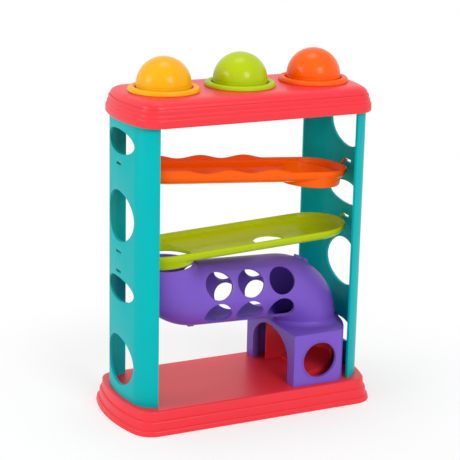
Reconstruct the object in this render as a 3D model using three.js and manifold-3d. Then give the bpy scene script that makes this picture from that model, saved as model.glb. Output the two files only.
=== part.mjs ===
// Pound and roll tower: three balls sit in soft rings on the roof, are hit through them, and roll
// down two ramps and a tube to an exit block on the base.
// Millimetres, +Z up. Origin: bottom centre of the base. +X points to the exit block, +Y to the back.
import * as THREE from 'three';
import { mergeVertices } from 'three/addons/utils/BufferGeometryUtils.js';
import Module from 'manifold-3d';

const wasm = await Module();
wasm.setup();

// Facet counts
const endSteps = 6;
const cornerSteps = 4;
const roundSteps = 24;
const holeSteps = 10; // in half a turn
const bendSteps = 6;
const smallSteps = 8;
const ballSteps = 20;

// Clearances
const seatGap = 0.1; // between a piece and the flat face that it stands on
const fitGap = 0.3; // round a piece that plugs into a slot or a hole
const ballGap = 2; // round a ball in a hole that it falls through
const rollGap = 0.5; // between a seated ball and its ring

// Ball, ring and ring places
const ballDiameter = 49;
const ringOuterRadius = 32;
const ringHeight = 4; // above the roof
const ringLipRadius = 22.6;
const ringLipDrop = 5; // lip below the roof's top face
const ringLipHeight = 2.6;
const ringBarrelWall = 3;
const ringRound = 1.5; // of the collar's outer edge
const ringMouthGap = 0.8; // extra room round the ball at the collar's top
const ringMouthRound = 0.9;
const ballEndGap = 45; // from the roof's end to the outermost ball's centre
const ballRise = 5.5; // centre of a seated ball above the roof's top face

// Base: a rectangle with bowed ends, stepped sides and a flat deck
const basePlan = { halfLength: 127, halfDepth: 60.5, endRadius: 150, cornerRadius: 21 };
const baseHeight = 21.4;
const baseFlange = 5; // height of the lowest band
const baseBand = 12.8; // top of the middle band
const baseTopInset = 8.4;
const baseSkin = 2.8;
const baseStep = 1.8; // inward step from one band to the next
const baseDraft = 0.8; // inward lean of one band
const baseEase = 0.2; // half the height of a step
const baseRound = 1.2; // height of the rounded top edge

// End walls: curved shells that stand in sockets of the base and the roof
const wallEndInset = 10.8;
const wallSideInset = 13;
const wallThickness = 2.6;
const wallCornerRadius = 25;
const wallFoot = 11; // depth in the base socket
const wallHead = 8; // depth above the roof's lower edge
const wallFrontTurn = 73; // degrees that a wall's front end turns round the corner
const wallBackTurn = 85;
const wallHolePitch = 67.2;
const wallHoleMiddle = 155.3;
const wallHoleWidth = 57;
const tallHoleHeight = 46;
const shortHoleHeight = 21.8;
const socketRib = 2.4;

// Roof: a lower frame and a crowned cap that is screwed on it from below
const roofInset = 8;
const roofBottom = 275.2;
const roofSplit = 291;
const roofTop = 298;
const roofSkin = 2.4;
const roofFloor = 279.2;
const roofBands = [8.2, 11.8]; // heights of the steps round the frame, above its lower edge
const roofStep = 0.9; // inward step from one band to the next
const roofDraft = 0.4; // inward lean of one band
const roofEase = 0.2; // half the height of a step
const roofEdge = 1.1; // round of the frame's lower edge
const capStep = 1; // from the frame's upper edge in to the cap
const capCrown = 16.4; // width of the rounded shoulder

// Ramps: troughs with a rolled lip and an open cup at the low end
const upperRamp = {
  halfWidth: 32, middle: wallHoleMiddle + wallHolePitch + 2, slope: 4.1, depth: 13, cup: 16, tabRise: 3.4,
};
const lowerRamp = {
  halfWidth: 34, middle: wallHoleMiddle + 4.7, slope: 2.6, depth: 12.5, cup: 13.8, tabRise: 1.2,
};
const rampEndGap = 4.6; // between a ramp's round end and the wall
const rampSkin = 2.4;
const rampLipWidth = 2.6;
const rampLipHeight = 4.6;
const rampLipEase = 0.6; // slope under the lip
const rampTaper = 6.5; // inward lean of the trough's sides
const waveHeight = 3;
const waveLength = 44;
const waveCount = 2.5;
const peepHoleDiameter = 30;
const peepHoleX = 33;
const tabWidth = 11;
const tabThickness = 2.4;
const tabReach = 1; // beyond the wall's outer face

// Tube: two half shells that clip together on the tower's middle plane
const tubeRadius = 29.8;
const tubeWall = 2.5;
const tubeSlope = 2;
const inletGap = 1.3; // between the lower ramp's cup and the tube
const inletBend = 31;
const inletStraight = 0.5; // of the inlet's upright part
const outletWallGap = 40.1; // from the right wall's inner face to the outlet's axis
const outletBend = 36;
const outletDepth = 4; // tube below the top face of the exit block
const windowDiameter = 26.5;
const windowPitch = 32;
const windowMiddle = 3; // middle window's place along X
const windowRise = 27; // degrees above the axis, upper row
const windowFall = 33; // degrees below the axis, lower row
const clipLength = 5.5;
const clipHeight = 2.4;
const clipThickness = 1.6;
// Places along the axis, counted in its corners
const clipStations = [bendSteps + 1, bendSteps + 3.4, bendSteps + 3.95];

// Exit block and the scoop inside it
const blockWallGap = 8.1; // between the block and the right wall
const blockLength = 67.5;
const blockOverhang = 1.5; // of the block's front face beyond the walls' ends
const blockTop = 71.2;
const blockCorner = 12;
const blockEndRadius = 75;
const blockWall = 2.6;
const archHalfWidth = 36;
const archSpring = 42;
const archCrown = 66.6;
const blockWindowDiameter = 33.6;
const blockWindow = { fromLeft: 26.5, z: 45 };
const postRadius = 4;
const scoopRadius = 26.5;
const scoopWall = 2.2;
const scoopReach = 10.6; // from the outlet's axis to the edge of the scoop's floor
const scoopGuide = 26; // from the outlet's axis to the end of the back wall
const scoopFront = -25; // degrees at which the round wall ends in front
const scoopTop = 65;
const scoopFall = 9; // drop of the scoop's floor across its width
const scoopFloor = 3; // floor height at the mouth

// Screws
const screwShank = 1.5;
const screwHead = 3;
const screwHeadHeight = 1.8;
const screwHeadRound = 0.6;
const screwLength = 10;
const roofScrew = { x: 37, y: 38 };

// Colours read from the photograph
const plastic = (name, color, roughness) =>
  Object.assign(new THREE.MeshStandardMaterial({ color, roughness, metalness: 0 }), { name });
const red = plastic('red plastic', '#f23c46', 0.35);
const teal = plastic('teal plastic', '#00b4b6', 0.4);
const orange = plastic('orange plastic', '#ff6a00', 0.3);
const lime = plastic('lime plastic', '#b4cd00', 0.3);
const purple = plastic('purple plastic', '#7f5ec6', 0.42);
const yellow = plastic('yellow plastic', '#f7b500', 0.3);
const steel = new THREE.MeshStandardMaterial({ color: '#b9bcc0', roughness: 0.35, metalness: 1 });

// Solids

// A closed geometry as a solid that can be joined and cut.
function solid(geometry, matrix = new THREE.Matrix4()) {
  const bare = geometry.clone().applyMatrix4(matrix);
  bare.deleteAttribute('normal');
  bare.deleteAttribute('uv');
  const merged = mergeVertices(bare, 1e-4);
  const corners = merged.index.array;
  const faces = [];
  for (let i = 0; i < corners.length; i += 3) {
    const [a, b, c] = corners.slice(i, i + 3);
    if (a !== b && b !== c && c !== a) faces.push(a, b, c);
  }
  return new wasm.Manifold(new wasm.Mesh({
    numProp: 3,
    vertProperties: new Float32Array(merged.attributes.position.array),
    triVerts: new Uint32Array(faces),
  }));
}

function geometryOf(body) {
  const mesh = body.getMesh();
  const geometry = new THREE.BufferGeometry();
  geometry.setAttribute('position', new THREE.BufferAttribute(new Float32Array(mesh.vertProperties), 3));
  geometry.setIndex(new THREE.BufferAttribute(new Uint32Array(mesh.triVerts), 1));
  geometry.computeVertexNormals();
  return geometry;
}

const joined = (bodies) => bodies.reduce((whole, body) => whole.add(body));
const cutBy = (body, tools) => tools.reduce((rest, tool) => rest.subtract(tool), body);
const move = (x, y, z) => new THREE.Matrix4().makeTranslation(x, y, z);

// Centre of a bowed rectangle's round corner at +X, +Y.
function cornerCentre(plan) {
  const y = plan.halfDepth - plan.cornerRadius;
  const reach = plan.endRadius - plan.cornerRadius;
  return new THREE.Vector2(plan.halfLength - plan.endRadius + Math.sqrt(reach * reach - y * y), y);
}

// A quarter of a rectangle with bowed ends and round corners, drawn inwards by inset.
function bowedQuarter(plan, inset) {
  const endX = plan.halfLength - plan.endRadius;
  const { x: cornerX, y: cornerY } = cornerCentre(plan);
  const turn = Math.atan2(cornerY, cornerX - endX);
  const endR = plan.endRadius - inset;
  const cornerR = Math.max(plan.cornerRadius - inset, 0.5);
  const quarter = [];
  for (let i = 0; i <= endSteps / 2; i += 1) {
    const a = (turn * i) / (endSteps / 2);
    quarter.push(new THREE.Vector2(endX + endR * Math.cos(a), endR * Math.sin(a)));
  }
  for (let i = 1; i <= cornerSteps; i += 1) {
    const a = turn + ((Math.PI / 2 - turn) * i) / cornerSteps;
    quarter.push(new THREE.Vector2(cornerX + cornerR * Math.cos(a), cornerY + cornerR * Math.sin(a)));
  }
  return quarter;
}

function bowedOutline(plan, inset) {
  const quarter = bowedQuarter(plan, inset);
  const left = quarter.map((p) => new THREE.Vector2(-p.x, p.y)).reverse();
  const back = [...quarter, ...left];
  const front = back.slice(1, -1).map((p) => new THREE.Vector2(p.x, -p.y)).reverse();
  return [...back, ...front];
}

// A solid through outlines of equal point counts, stacked from the lowest to the highest.
function loft(levels) {
  const count = levels[0].points.length;
  const position = levels.flatMap(({ points, z }) => points.flatMap((p) => [p.x, p.y, z]));
  const index = [];
  for (let k = 0; k + 1 < levels.length; k += 1) {
    for (let i = 0; i < count; i += 1) {
      const a = k * count + i;
      const b = k * count + ((i + 1) % count);
      index.push(a, b, b + count, a, b + count, a + count);
    }
  }
  const last = (levels.length - 1) * count;
  const caps = (points) => THREE.ShapeUtils.triangulateShape(points, []);
  for (const [a, b, c] of caps(levels[0].points)) index.push(a, c, b);
  for (const [a, b, c] of caps(levels[levels.length - 1].points)) index.push(last + a, last + b, last + c);
  const geometry = new THREE.BufferGeometry();
  geometry.setAttribute('position', new THREE.Float32BufferAttribute(position, 3));
  geometry.setIndex(index);
  return solid(geometry);
}

const banded = (plan, profile) =>
  loft(profile.map(([inset, z]) => ({ points: bowedOutline(plan, inset), z })));

// A flat shape raised from z0 to z1.
function raised(shape, z0, z1, steps = holeSteps) {
  const geometry = new THREE.ExtrudeGeometry(shape, {
    depth: z1 - z0, bevelEnabled: false, curveSegments: steps,
  });
  return solid(geometry, move(0, 0, z0));
}

// A shape drawn in the X-Z plane and raised along Y, from y0 to y1.
function raisedAlongY(shape, y0, y1, steps = holeSteps) {
  const geometry = new THREE.ExtrudeGeometry(shape, {
    depth: y1 - y0, bevelEnabled: false, curveSegments: steps,
  });
  return solid(geometry, move(0, y1, 0).multiply(new THREE.Matrix4().makeRotationX(Math.PI / 2)));
}

// A shape drawn in the Y-Z plane and raised along X, from x0 to x1.
function raisedAlongX(shape, x0, x1, steps = holeSteps) {
  const geometry = new THREE.ExtrudeGeometry(shape, {
    depth: x1 - x0, bevelEnabled: false, curveSegments: steps,
  });
  const turn = new THREE.Matrix4().makeBasis(
    new THREE.Vector3(0, 1, 0), new THREE.Vector3(0, 0, 1), new THREE.Vector3(1, 0, 0));
  return solid(geometry, move(x0, 0, 0).multiply(turn));
}

function post(x, y, radius, z0, z1, steps = smallSteps) {
  const geometry = new THREE.CylinderGeometry(radius, radius, z1 - z0, steps);
  const upright = new THREE.Matrix4().makeRotationX(Math.PI / 2);
  return solid(geometry, move(x, y, (z0 + z1) / 2).multiply(upright));
}

// A body turned about the Z axis from [radius, z] points that run from axis to axis or close on themselves.
function turned(profile, steps = roundSteps) {
  const closed = profile[0][0] > 0 ? [...profile, profile[0]] : profile;
  const points = closed.map(([r, z]) => new THREE.Vector2(r, z));
  const geometry = new THREE.LatheGeometry(points, steps);
  return solid(geometry, new THREE.Matrix4().makeRotationX(Math.PI / 2));
}

const polygon = (points) => new THREE.Shape(points.map(([x, y]) => new THREE.Vector2(x, y)));
const box = (x0, x1, y0, y1, z0, z1) => raised(polygon([[x0, y0], [x1, y0], [x1, y1], [x0, y1]]), z0, z1);

function oval(x, y, width, height) {
  const shape = new THREE.Shape();
  shape.absellipse(x, y, width / 2, height / 2, 0, 2 * Math.PI, false, 0);
  return shape;
}

// Places worked out from the sizes above
const roofPlan = {
  halfLength: basePlan.halfLength - roofInset,
  halfDepth: basePlan.halfDepth - roofInset,
  endRadius: basePlan.endRadius - roofInset,
  cornerRadius: basePlan.cornerRadius,
};
const wallPlan = {
  halfLength: basePlan.halfLength - wallEndInset,
  halfDepth: basePlan.halfDepth - wallSideInset,
  endRadius: basePlan.endRadius - wallEndInset,
  cornerRadius: wallCornerRadius,
};
const wallInnerX = wallPlan.halfLength - wallThickness;
const wallBottom = baseHeight - wallFoot;
const wallTop = roofBottom + wallHead;
const ballRadius = ballDiameter / 2;
const ballZ = roofTop + ballRise;
const ballPitch = roofPlan.halfLength - ballEndGap;
const ringPlaces = [-ballPitch, 0, ballPitch];
const frameTopInset = roofBands.length * (roofStep + roofDraft) + roofDraft;
const ballHoleRadius = ballRadius + ballGap;
const ringHoleRadius = ringLipRadius + 2 * ringBarrelWall + ballGap;
const rampHalfLength = wallInnerX - rampEndGap;
const rampHeight = (ramp, x, side) =>
  ramp.middle - side * x * Math.tan(THREE.MathUtils.degToRad(ramp.slope));
const upperLow = 1; // the upper ramp falls to +X
const lowerLow = -1; // the lower ramp falls back to -X
const inletX = -ballPitch;
const cupRadius = ballHoleRadius + rampSkin;
const inletTop = rampHeight(lowerRamp, inletX - cupRadius, lowerLow) - lowerRamp.cup - inletGap;
const tubeFall = THREE.MathUtils.degToRad(tubeSlope);
const bendTurn = Math.PI / 2 - tubeFall;
const runTop = inletTop - inletStraight - inletBend * Math.tan(bendTurn / 2); // the axis below the inlet
const tubeMiddle = runTop + inletX * Math.tan(tubeFall); // the axis at the middle of the run
const tubeTabZ = inletTop - tabThickness;
const outletX = wallInnerX - outletWallGap;
const blockHalfDepth = wallPlan.halfDepth + blockOverhang;
const blockRight = wallInnerX - blockWallGap;
const blockLeft = blockRight - blockLength;
const postSink = 0.8; // how far a post runs into the walls beside it
const screwPlaces = {
  roof: [[1, 1], [1, -1], [-1, 1], [-1, -1]].map(([i, j]) => ({ x: i * roofScrew.x, y: j * roofScrew.y })),
  block: [1, -1].map((side) => ({
    x: blockLeft + blockWall + postRadius - postSink,
    y: side * (blockHalfDepth - blockWall - postRadius + postSink),
  })),
  scoop: [{ x: outletX + scoopRadius / 2, y: 0 }],
};

// The right-hand wall's plan as a strip, from its front end round to its back end, grown by grow.
function wallStrip(grow) {
  const corner = cornerCentre(wallPlan);
  const turnAt = (p) => Math.atan2(Math.abs(p.y) - corner.y, p.x - corner.x);
  const side = (inset) => {
    const radius = wallPlan.cornerRadius - inset;
    const turns = [wallFrontTurn, wallBackTurn].map((turn) => THREE.MathUtils.degToRad(turn) + grow / radius);
    const ends = turns.map((turn, i) => new THREE.Vector2(
      corner.x + radius * Math.cos(turn), (2 * i - 1) * (corner.y + radius * Math.sin(turn))));
    const run = bowedOutline(wallPlan, inset)
      .filter((p) => p.x > corner.x && turnAt(p) < turns[p.y < 0 ? 0 : 1] - 0.01)
      .sort((p, q) => p.y - q.y);
    return [ends[0], ...run, ends[1]];
  };
  return new THREE.Shape([...side(-grow), ...side(wallThickness + grow).reverse()]);
}

function mirroredX(body) {
  return body.mirror([1, 0, 0]);
}

const bothSides = (body) => [body, mirroredX(body)];

// Base

function baseTray() {
  const second = baseStep + baseDraft;
  const third = 2 * second;
  const outer = banded(basePlan, [
    [0, 0], [0, baseFlange - baseEase],
    [baseStep, baseFlange + baseEase], [second, baseBand - baseEase],
    [second + baseStep, baseBand + baseEase], [third + baseDraft, baseHeight - baseRound],
    [baseTopInset, baseHeight],
  ]);
  const hollow = banded(basePlan, [
    [baseSkin, -1], [baseSkin, 0], [baseSkin + baseStep, baseFlange],
    [baseSkin + second, baseBand - baseSkin], [baseSkin + third, baseHeight - baseSkin],
  ]);
  const ribs = bothSides(raised(wallStrip(socketRib), wallBottom - socketRib, baseHeight - baseSkin / 2));
  const sockets = bothSides(raised(wallStrip(fitGap), wallBottom - seatGap, baseHeight + 1));
  const posts = screwPlaces.block.concat(screwPlaces.scoop).map(({ x, y }) =>
    post(x, y, screwShank + fitGap, 0, baseHeight + 1));
  return cutBy(joined([outer.subtract(hollow), ...ribs]), [...sockets, ...posts]);
}

// Walls

function endWall(tallHolesFirst, slots) {
  const shell = raised(wallStrip(0), wallBottom, wallTop);
  const x0 = wallPlan.halfLength / 2;
  const x1 = wallPlan.halfLength + 1;
  const holes = [-1.5, -0.5, 0.5, 1.5].map((k, i) => {
    const tall = (i % 2 === 0) === tallHolesFirst;
    const height = tall ? tallHoleHeight : shortHoleHeight;
    return raisedAlongX(oval(0, wallHoleMiddle + k * wallHolePitch, wallHoleWidth, height), x0, x1);
  });
  const slits = slots.map(({ z, lean }) => {
    const half = { y: tabWidth / 2 + fitGap, z: tabThickness / 2 + fitGap + lean };
    return box(x0, x1, -half.y, half.y, z - half.z, z + half.z);
  });
  return cutBy(shell, [...holes, ...slits]);
}

// Roof

function roofFrame() {
  const steps = roofBands.flatMap((rise, i) => {
    const inset = i * roofStep + (i + 1) * roofDraft;
    return [[inset, roofBottom + rise - roofEase], [inset + roofStep, roofBottom + rise + roofEase]];
  });
  const outer = banded(roofPlan, [
    [roofEdge, roofBottom], [0, roofBottom + roofEdge], ...steps, [frameTopInset, roofSplit],
  ]);
  const inside = frameTopInset + roofSkin;
  const below = banded(roofPlan, [[inside, roofBottom - 1], [inside, roofFloor]]);
  const above = banded(roofPlan, [[inside, roofFloor + roofSkin], [inside, roofSplit + 1]]);
  const slots = bothSides(raised(wallStrip(fitGap), roofBottom - 1, roofSplit + 1));
  const holes = ringPlaces.map((x) =>
    post(x, 0, ballHoleRadius, roofBottom - 1, roofSplit + 1, roundSteps));
  const screwHoles = screwPlaces.roof.map(({ x, y }) =>
    post(x, y, screwShank + fitGap, roofBottom - 1, roofSplit + 1));
  return cutBy(outer, [below, above, ...slots, ...holes, ...screwHoles]);
}

function roofCap() {
  const rise = roofTop - roofSplit;
  const foot = roofSplit + seatGap;
  const shoulder = (start, width, height) => [0.1, 0.25, 0.45, 0.7, 1].map((t) =>
    [start + t * width, roofSplit + height * Math.sqrt(1 - (1 - t) ** 3)]);
  const edge = frameTopInset + capStep;
  const outer = banded(roofPlan, [[edge, foot], ...shoulder(edge, capCrown, rise)]);
  const inside = edge + roofSkin;
  const hollow = banded(roofPlan, [
    [inside, foot - 1], ...shoulder(inside, capCrown - roofSkin, rise - roofSkin),
  ]);
  const posts = screwPlaces.roof.map(({ x, y }) =>
    post(x, y, postRadius, roofFloor + roofSkin + seatGap, roofTop - roofSkin / 2));
  const bores = screwPlaces.roof.map(({ x, y }) =>
    post(x, y, screwShank + seatGap, roofFloor, roofFloor + screwLength + fitGap));
  const holes = ringPlaces.map((x) => post(x, 0, ringHoleRadius, roofSplit - 1, roofTop + 1, roundSteps));
  return cutBy(joined([outer.subtract(hollow), ...posts]), [...holes, ...bores]);
}

// A soft ring: a rounded collar on the roof, a barrel through it and an inner lip that holds the ball.
function ring() {
  const top = roofTop + ringHeight;
  const barrel = ringHoleRadius - fitGap;
  const lip = roofTop - ringLipDrop;
  const seat = roofTop + seatGap;
  const mouth = Math.sqrt(ballRadius ** 2 - (ballZ - top) ** 2) + rollGap + ringMouthGap;
  return turned([
    [ringLipRadius, lip - ringLipHeight], [barrel, lip - ringLipHeight], [barrel, seat],
    [ringOuterRadius, seat], [ringOuterRadius, top - ringRound], [ringOuterRadius - ringRound, top],
    [mouth + ringMouthRound, top], [mouth, top - ringMouthRound], [ringLipRadius, lip],
  ]);
}

// Balls

function ball() {
  const half = Array.from({ length: ballSteps / 2 + 1 }, (_, i) => {
    const a = -Math.PI / 2 + (Math.PI * i) / (ballSteps / 2);
    const onAxis = i === 0 || i === ballSteps / 2;
    return [onAxis ? 0 : ballRadius * Math.cos(a), ballRadius * Math.sin(a)];
  });
  return turned(half, ballSteps);
}

// Ramps, drawn level with the lip's top face at z = 0 and the cup at +X

function stadium(ramp, inset) {
  const r = ramp.halfWidth - inset;
  const x = rampHalfLength - ramp.halfWidth;
  const shape = new THREE.Shape();
  shape.absarc(x, 0, r, -Math.PI / 2, Math.PI / 2, false);
  shape.absarc(-x, 0, r, Math.PI / 2, 1.5 * Math.PI, false);
  return shape.getPoints(roundSteps / 4);
}

function trough(ramp, tops) {
  const levels = (list) => loft(list.map(([inset, z]) => ({ points: stadium(ramp, inset), z })));
  const body = levels([
    [rampLipWidth + rampTaper, -ramp.depth], [rampLipWidth, -rampLipHeight],
    [0, -rampLipHeight + rampLipEase], [0, tops],
  ]);
  const space = levels([
    [rampLipWidth + rampTaper + rampSkin, -ramp.depth + rampSkin],
    [rampLipWidth + rampLipEase, -rampLipHeight], [rampLipWidth, tops + 1],
  ]);
  return { body, space };
}

function cup(ramp) {
  const top = ramp.halfWidth - rampLipWidth;
  const body = turned([[0, -ramp.cup], [cupRadius, -ramp.cup], [top, -rampLipHeight], [0, -rampLipHeight]]);
  const space = turned([
    [0, -ramp.cup - 1], [ballHoleRadius, -ramp.cup - 1], [ballHoleRadius, -ramp.cup],
    [top - rampSkin, -rampLipHeight], [top - rampSkin, 0], [0, 0],
  ]);
  const place = [ballPitch, 0, 0];
  return { body: body.translate(place), space: space.translate(place) };
}

// The lip's upper edge rolls up and down along the trough and is level round the cup.
function waveCut(ramp) {
  const far = rampHalfLength + 2 * tabReach;
  const start = ballPitch - ramp.halfWidth - waveCount * waveLength;
  const steps = waveCount * 8;
  const line = [[far, 0], [start + waveCount * waveLength, 0]];
  for (let i = 1; i <= steps; i += 1) {
    const t = i / steps;
    const x = start + (1 - t) * waveCount * waveLength;
    line.push([x, waveHeight * 0.5 * (1 - Math.cos(2 * Math.PI * waveCount * t))]);
  }
  line.push([-far, line[line.length - 1][1]]);
  const above = [[-far, ramp.cup], [far, ramp.cup]];
  return raisedAlongY(polygon([...line, ...above]), -ramp.halfWidth - 1, ramp.halfWidth + 1);
}

function rampBody(ramp, { wavy, peepHole }) {
  const tops = wavy ? waveHeight : 0;
  const run = trough(ramp, tops);
  const mouth = cup(ramp);
  const lean = Math.cos(THREE.MathUtils.degToRad(ramp.slope));
  const reach = (wallPlan.halfLength + tabReach) / lean;
  const tabs = [1, -1].flatMap((side) => {
    const root = rampHalfLength - rampLipWidth;
    const high = ramp.tabRise + tabThickness / 2;
    const across = (end, low) => {
      const [x0, x1] = [side * root, side * end].sort((a, b) => a - b);
      return box(x0, x1, -tabWidth / 2, tabWidth / 2, low, high);
    };
    return [across(rampHalfLength, -rampLipHeight / 2), across(reach, high - tabThickness)];
  });
  let body = cutBy(run.body.add(mouth.body), [run.space, mouth.space]);
  if (wavy) body = body.subtract(waveCut(ramp));
  body = joined([body, ...tabs]);
  if (!peepHole) return body;
  return body.subtract(post(peepHole, 0, peepHoleDiameter / 2, -ramp.depth - 1, -rampLipHeight));
}

// Tube

// The axis, in the X-Z plane: down into the inlet bend, along the sloping run, down into the block.
function tubeAxis() {
  const outTop = tubeMiddle - outletX * Math.tan(tubeFall);
  const point = (x, z) => new THREE.Vector3(x, 0, z);
  const points = [point(inletX, inletTop)];
  const bend = (x, z, radius, from, to) => {
    for (let i = 0; i <= bendSteps; i += 1) {
      const a = from + ((to - from) * i) / bendSteps;
      points.push(point(x + radius * Math.cos(a), z + radius * Math.sin(a)));
    }
  };
  bend(inletX + inletBend, inletTop - inletStraight, inletBend, Math.PI, Math.PI + bendTurn);
  bend(outletX - outletBend, outTop - outletBend * Math.tan(bendTurn / 2), outletBend, bendTurn, 0);
  points.push(point(outletX, blockTop - outletDepth));
  return points;
}

// A closed section swept along the axis. The section's first coordinate lies in the X-Z plane.
function swept(axis, section) {
  const position = [];
  axis.forEach((p, i) => {
    const before = axis[Math.max(i - 1, 0)];
    const after = axis[Math.min(i + 1, axis.length - 1)];
    const way = after.clone().sub(before).normalize();
    for (const q of section) position.push(p.x - way.z * q.x, q.y, p.z + way.x * q.x);
  });
  const count = section.length;
  const index = [];
  for (let k = 0; k + 1 < axis.length; k += 1) {
    for (let i = 0; i < count; i += 1) {
      const a = k * count + i;
      const b = k * count + ((i + 1) % count);
      index.push(a, b + count, b, a, a + count, b + count);
    }
  }
  const last = (axis.length - 1) * count;
  for (const [a, b, c] of THREE.ShapeUtils.triangulateShape(section, [])) {
    index.push(a, b, c, last + a, last + c, last + b);
  }
  const geometry = new THREE.BufferGeometry();
  geometry.setAttribute('position', new THREE.Float32BufferAttribute(position, 3));
  geometry.setIndex(index);
  return solid(geometry);
}

function halfRing(outer, inner, side) {
  const gap = seatGap / 2;
  const arc = (radius, ends) => {
    const steps = roundSteps / 2;
    const start = Math.asin(gap / radius);
    return Array.from({ length: steps + 1 }, (_, i) => {
      const a = start + ((Math.PI - 2 * start) * (ends ? steps - i : i)) / steps;
      return new THREE.Vector2(radius * Math.cos(a), side * radius * Math.sin(a));
    });
  };
  const points = [...arc(outer, false), ...arc(inner, true)];
  return side > 0 ? points : points.reverse();
}

function fullRound(radius) {
  return Array.from({ length: roundSteps }, (_, i) => {
    const a = (2 * Math.PI * i) / roundSteps;
    return new THREE.Vector2(radius * Math.cos(a), radius * Math.sin(a));
  });
}

function tubeShell(side) {
  const axis = tubeAxis();
  const inner = tubeRadius - tubeWall;
  const shell = swept(axis, halfRing(tubeRadius, inner, side));
  const punch = new THREE.CylinderGeometry(windowDiameter / 2, windowDiameter / 2, tubeRadius, holeSteps);
  const windows = [];
  for (const k of [-1, 0, 1]) {
    for (const tilt of [windowRise, -windowFall]) {
      const a = THREE.MathUtils.degToRad(tilt);
      const x = windowMiddle + k * windowPitch;
      const way = new THREE.Vector3(0, side * Math.cos(a), Math.sin(a));
      const turn = new THREE.Matrix4().makeRotationFromQuaternion(
        new THREE.Quaternion().setFromUnitVectors(new THREE.Vector3(0, 1, 0), way));
      const middle = new THREE.Vector3(x, 0, tubeMiddle - Math.tan(tubeFall) * x);
      const place = middle.addScaledVector(way, tubeRadius);
      windows.push(solid(punch, move(place.x, place.y, place.z).multiply(turn)));
    }
  }
  const near = seatGap / 2;
  const clips = clipStations.flatMap((station) => [1, -1].map((up) => {
    const i = Math.floor(station);
    const middle = axis[i].clone().lerp(axis[i + 1], station - i);
    const way = axis[i + 1].clone().sub(axis[i]).normalize();
    const turn = new THREE.Matrix4().makeRotationY(-Math.atan2(way.z, way.x));
    const lug = new THREE.BoxGeometry(clipLength, clipThickness, 2 * clipHeight);
    const out = move(0, side * (near + clipThickness / 2), up * tubeRadius);
    return solid(lug, move(middle.x, 0, middle.z).multiply(turn).multiply(out));
  }));
  const tabEnds = [inletX - tubeRadius + tubeWall / 2, -wallPlan.halfLength - tabReach];
  const sides = [side * near, (side * tabWidth) / 2].sort((a, b) => a - b);
  const tabHalf = tabThickness / 2;
  const tab = box(tabEnds[1], tabEnds[0], sides[0], sides[1], tubeTabZ - tabHalf, tubeTabZ + tabHalf);
  const bore = swept(axis, fullRound(inner));
  const added = [...clips, tab].map((body) => body.subtract(bore));
  return cutBy(joined([shell, ...added]), windows);
}

// Exit block

function blockShape(inset) {
  const right = bowedQuarter({
    halfLength: blockRight, halfDepth: blockHalfDepth, endRadius: blockEndRadius, cornerRadius: blockCorner,
  }, inset);
  const front = right.slice(1).map((p) => new THREE.Vector2(p.x, -p.y)).reverse();
  const left = [1, -1].map((side) => new THREE.Vector2(blockLeft + inset, side * (blockHalfDepth - inset)));
  const shape = new THREE.Shape([...front, ...right, ...left]);
  return shape;
}

function exitBlock() {
  const bottom = baseHeight + seatGap;
  const outer = raised(blockShape(0), bottom, blockTop, cornerSteps);
  const hollow = raised(blockShape(blockWall), bottom - 1, blockTop - blockWall, cornerSteps);
  const arch = new THREE.Shape();
  arch.moveTo(-archHalfWidth, bottom - 1);
  arch.lineTo(archHalfWidth, bottom - 1);
  arch.absellipse(0, archSpring, archHalfWidth, archCrown - archSpring, 0, Math.PI, false, 0);
  const posts = screwPlaces.block.map(({ x, y }) =>
    post(x, y, postRadius, bottom, blockTop - blockWall / 2));
  const bores = screwPlaces.block.map(({ x, y }) =>
    post(x, y, screwShank + seatGap, bottom - 1, baseHeight - baseSkin + screwLength + fitGap));
  const top = post(outletX, 0, tubeRadius + 2 * fitGap, blockTop - 2 * blockWall, blockTop + 1, roundSteps);
  const paneX = blockLeft + blockWindow.fromLeft;
  const pane = raisedAlongY(oval(paneX, blockWindow.z, blockWindowDiameter, blockWindowDiameter),
    -blockHalfDepth - 1, -blockHalfDepth / 2);
  const body = joined([outer.subtract(hollow), ...posts]);
  return cutBy(body, [raisedAlongX(arch, blockLeft - 1, blockLeft + blockWall + 0.2), top, pane, ...bores]);
}

// The scoop: a round wall behind a sloping floor, which turns a falling ball out to -X.
function ballScoop() {
  const bottom = baseHeight + seatGap;
  const r = scoopRadius;
  const mouth = outletX - scoopReach;
  const shape = new THREE.Shape();
  const start = THREE.MathUtils.degToRad(scoopFront);
  shape.absarc(outletX, 0, r + scoopWall, start, Math.PI / 2, false);
  shape.lineTo(outletX - scoopGuide, r + scoopWall);
  shape.lineTo(outletX - scoopGuide, r);
  shape.absarc(outletX, 0, r, Math.PI / 2, start, true);
  const wall = raised(shape, bottom, scoopTop, roundSteps / 4);
  const floorEdge = outletX + r + scoopWall / 2;
  const wedge = raisedAlongY(polygon([
    [mouth, bottom], [floorEdge, bottom],
    [floorEdge, bottom + scoopFloor + scoopFall], [mouth, bottom + scoopFloor],
  ]), -r - scoopWall / 2, r + scoopWall / 2);
  const plan = new THREE.Shape();
  plan.absarc(outletX, 0, r + scoopWall / 2, -Math.PI / 2, Math.PI / 2, false);
  plan.lineTo(mouth, r + scoopWall / 2);
  plan.lineTo(mouth, -r - scoopWall / 2);
  const floor = wedge.intersect(raised(plan, bottom - 1, scoopTop, roundSteps / 4));
  const bores = screwPlaces.scoop.map(({ x, y }) =>
    post(x, y, screwShank + seatGap, bottom - 1, baseHeight - baseSkin + screwLength + fitGap));
  return cutBy(joined([wall, floor]), bores);
}

// Screws: a pan head under the plate that it holds, and a shank up into the post
function screw() {
  return turned([
    [0, -screwHeadHeight], [screwHead - screwHeadRound, -screwHeadHeight], [screwHead, -screwHeadRound],
    [screwHead, 0], [screwShank, 0], [screwShank, screwLength - screwShank], [0, screwLength],
  ], smallSteps);
}

// Assembly

const tower = new THREE.Group();

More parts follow.
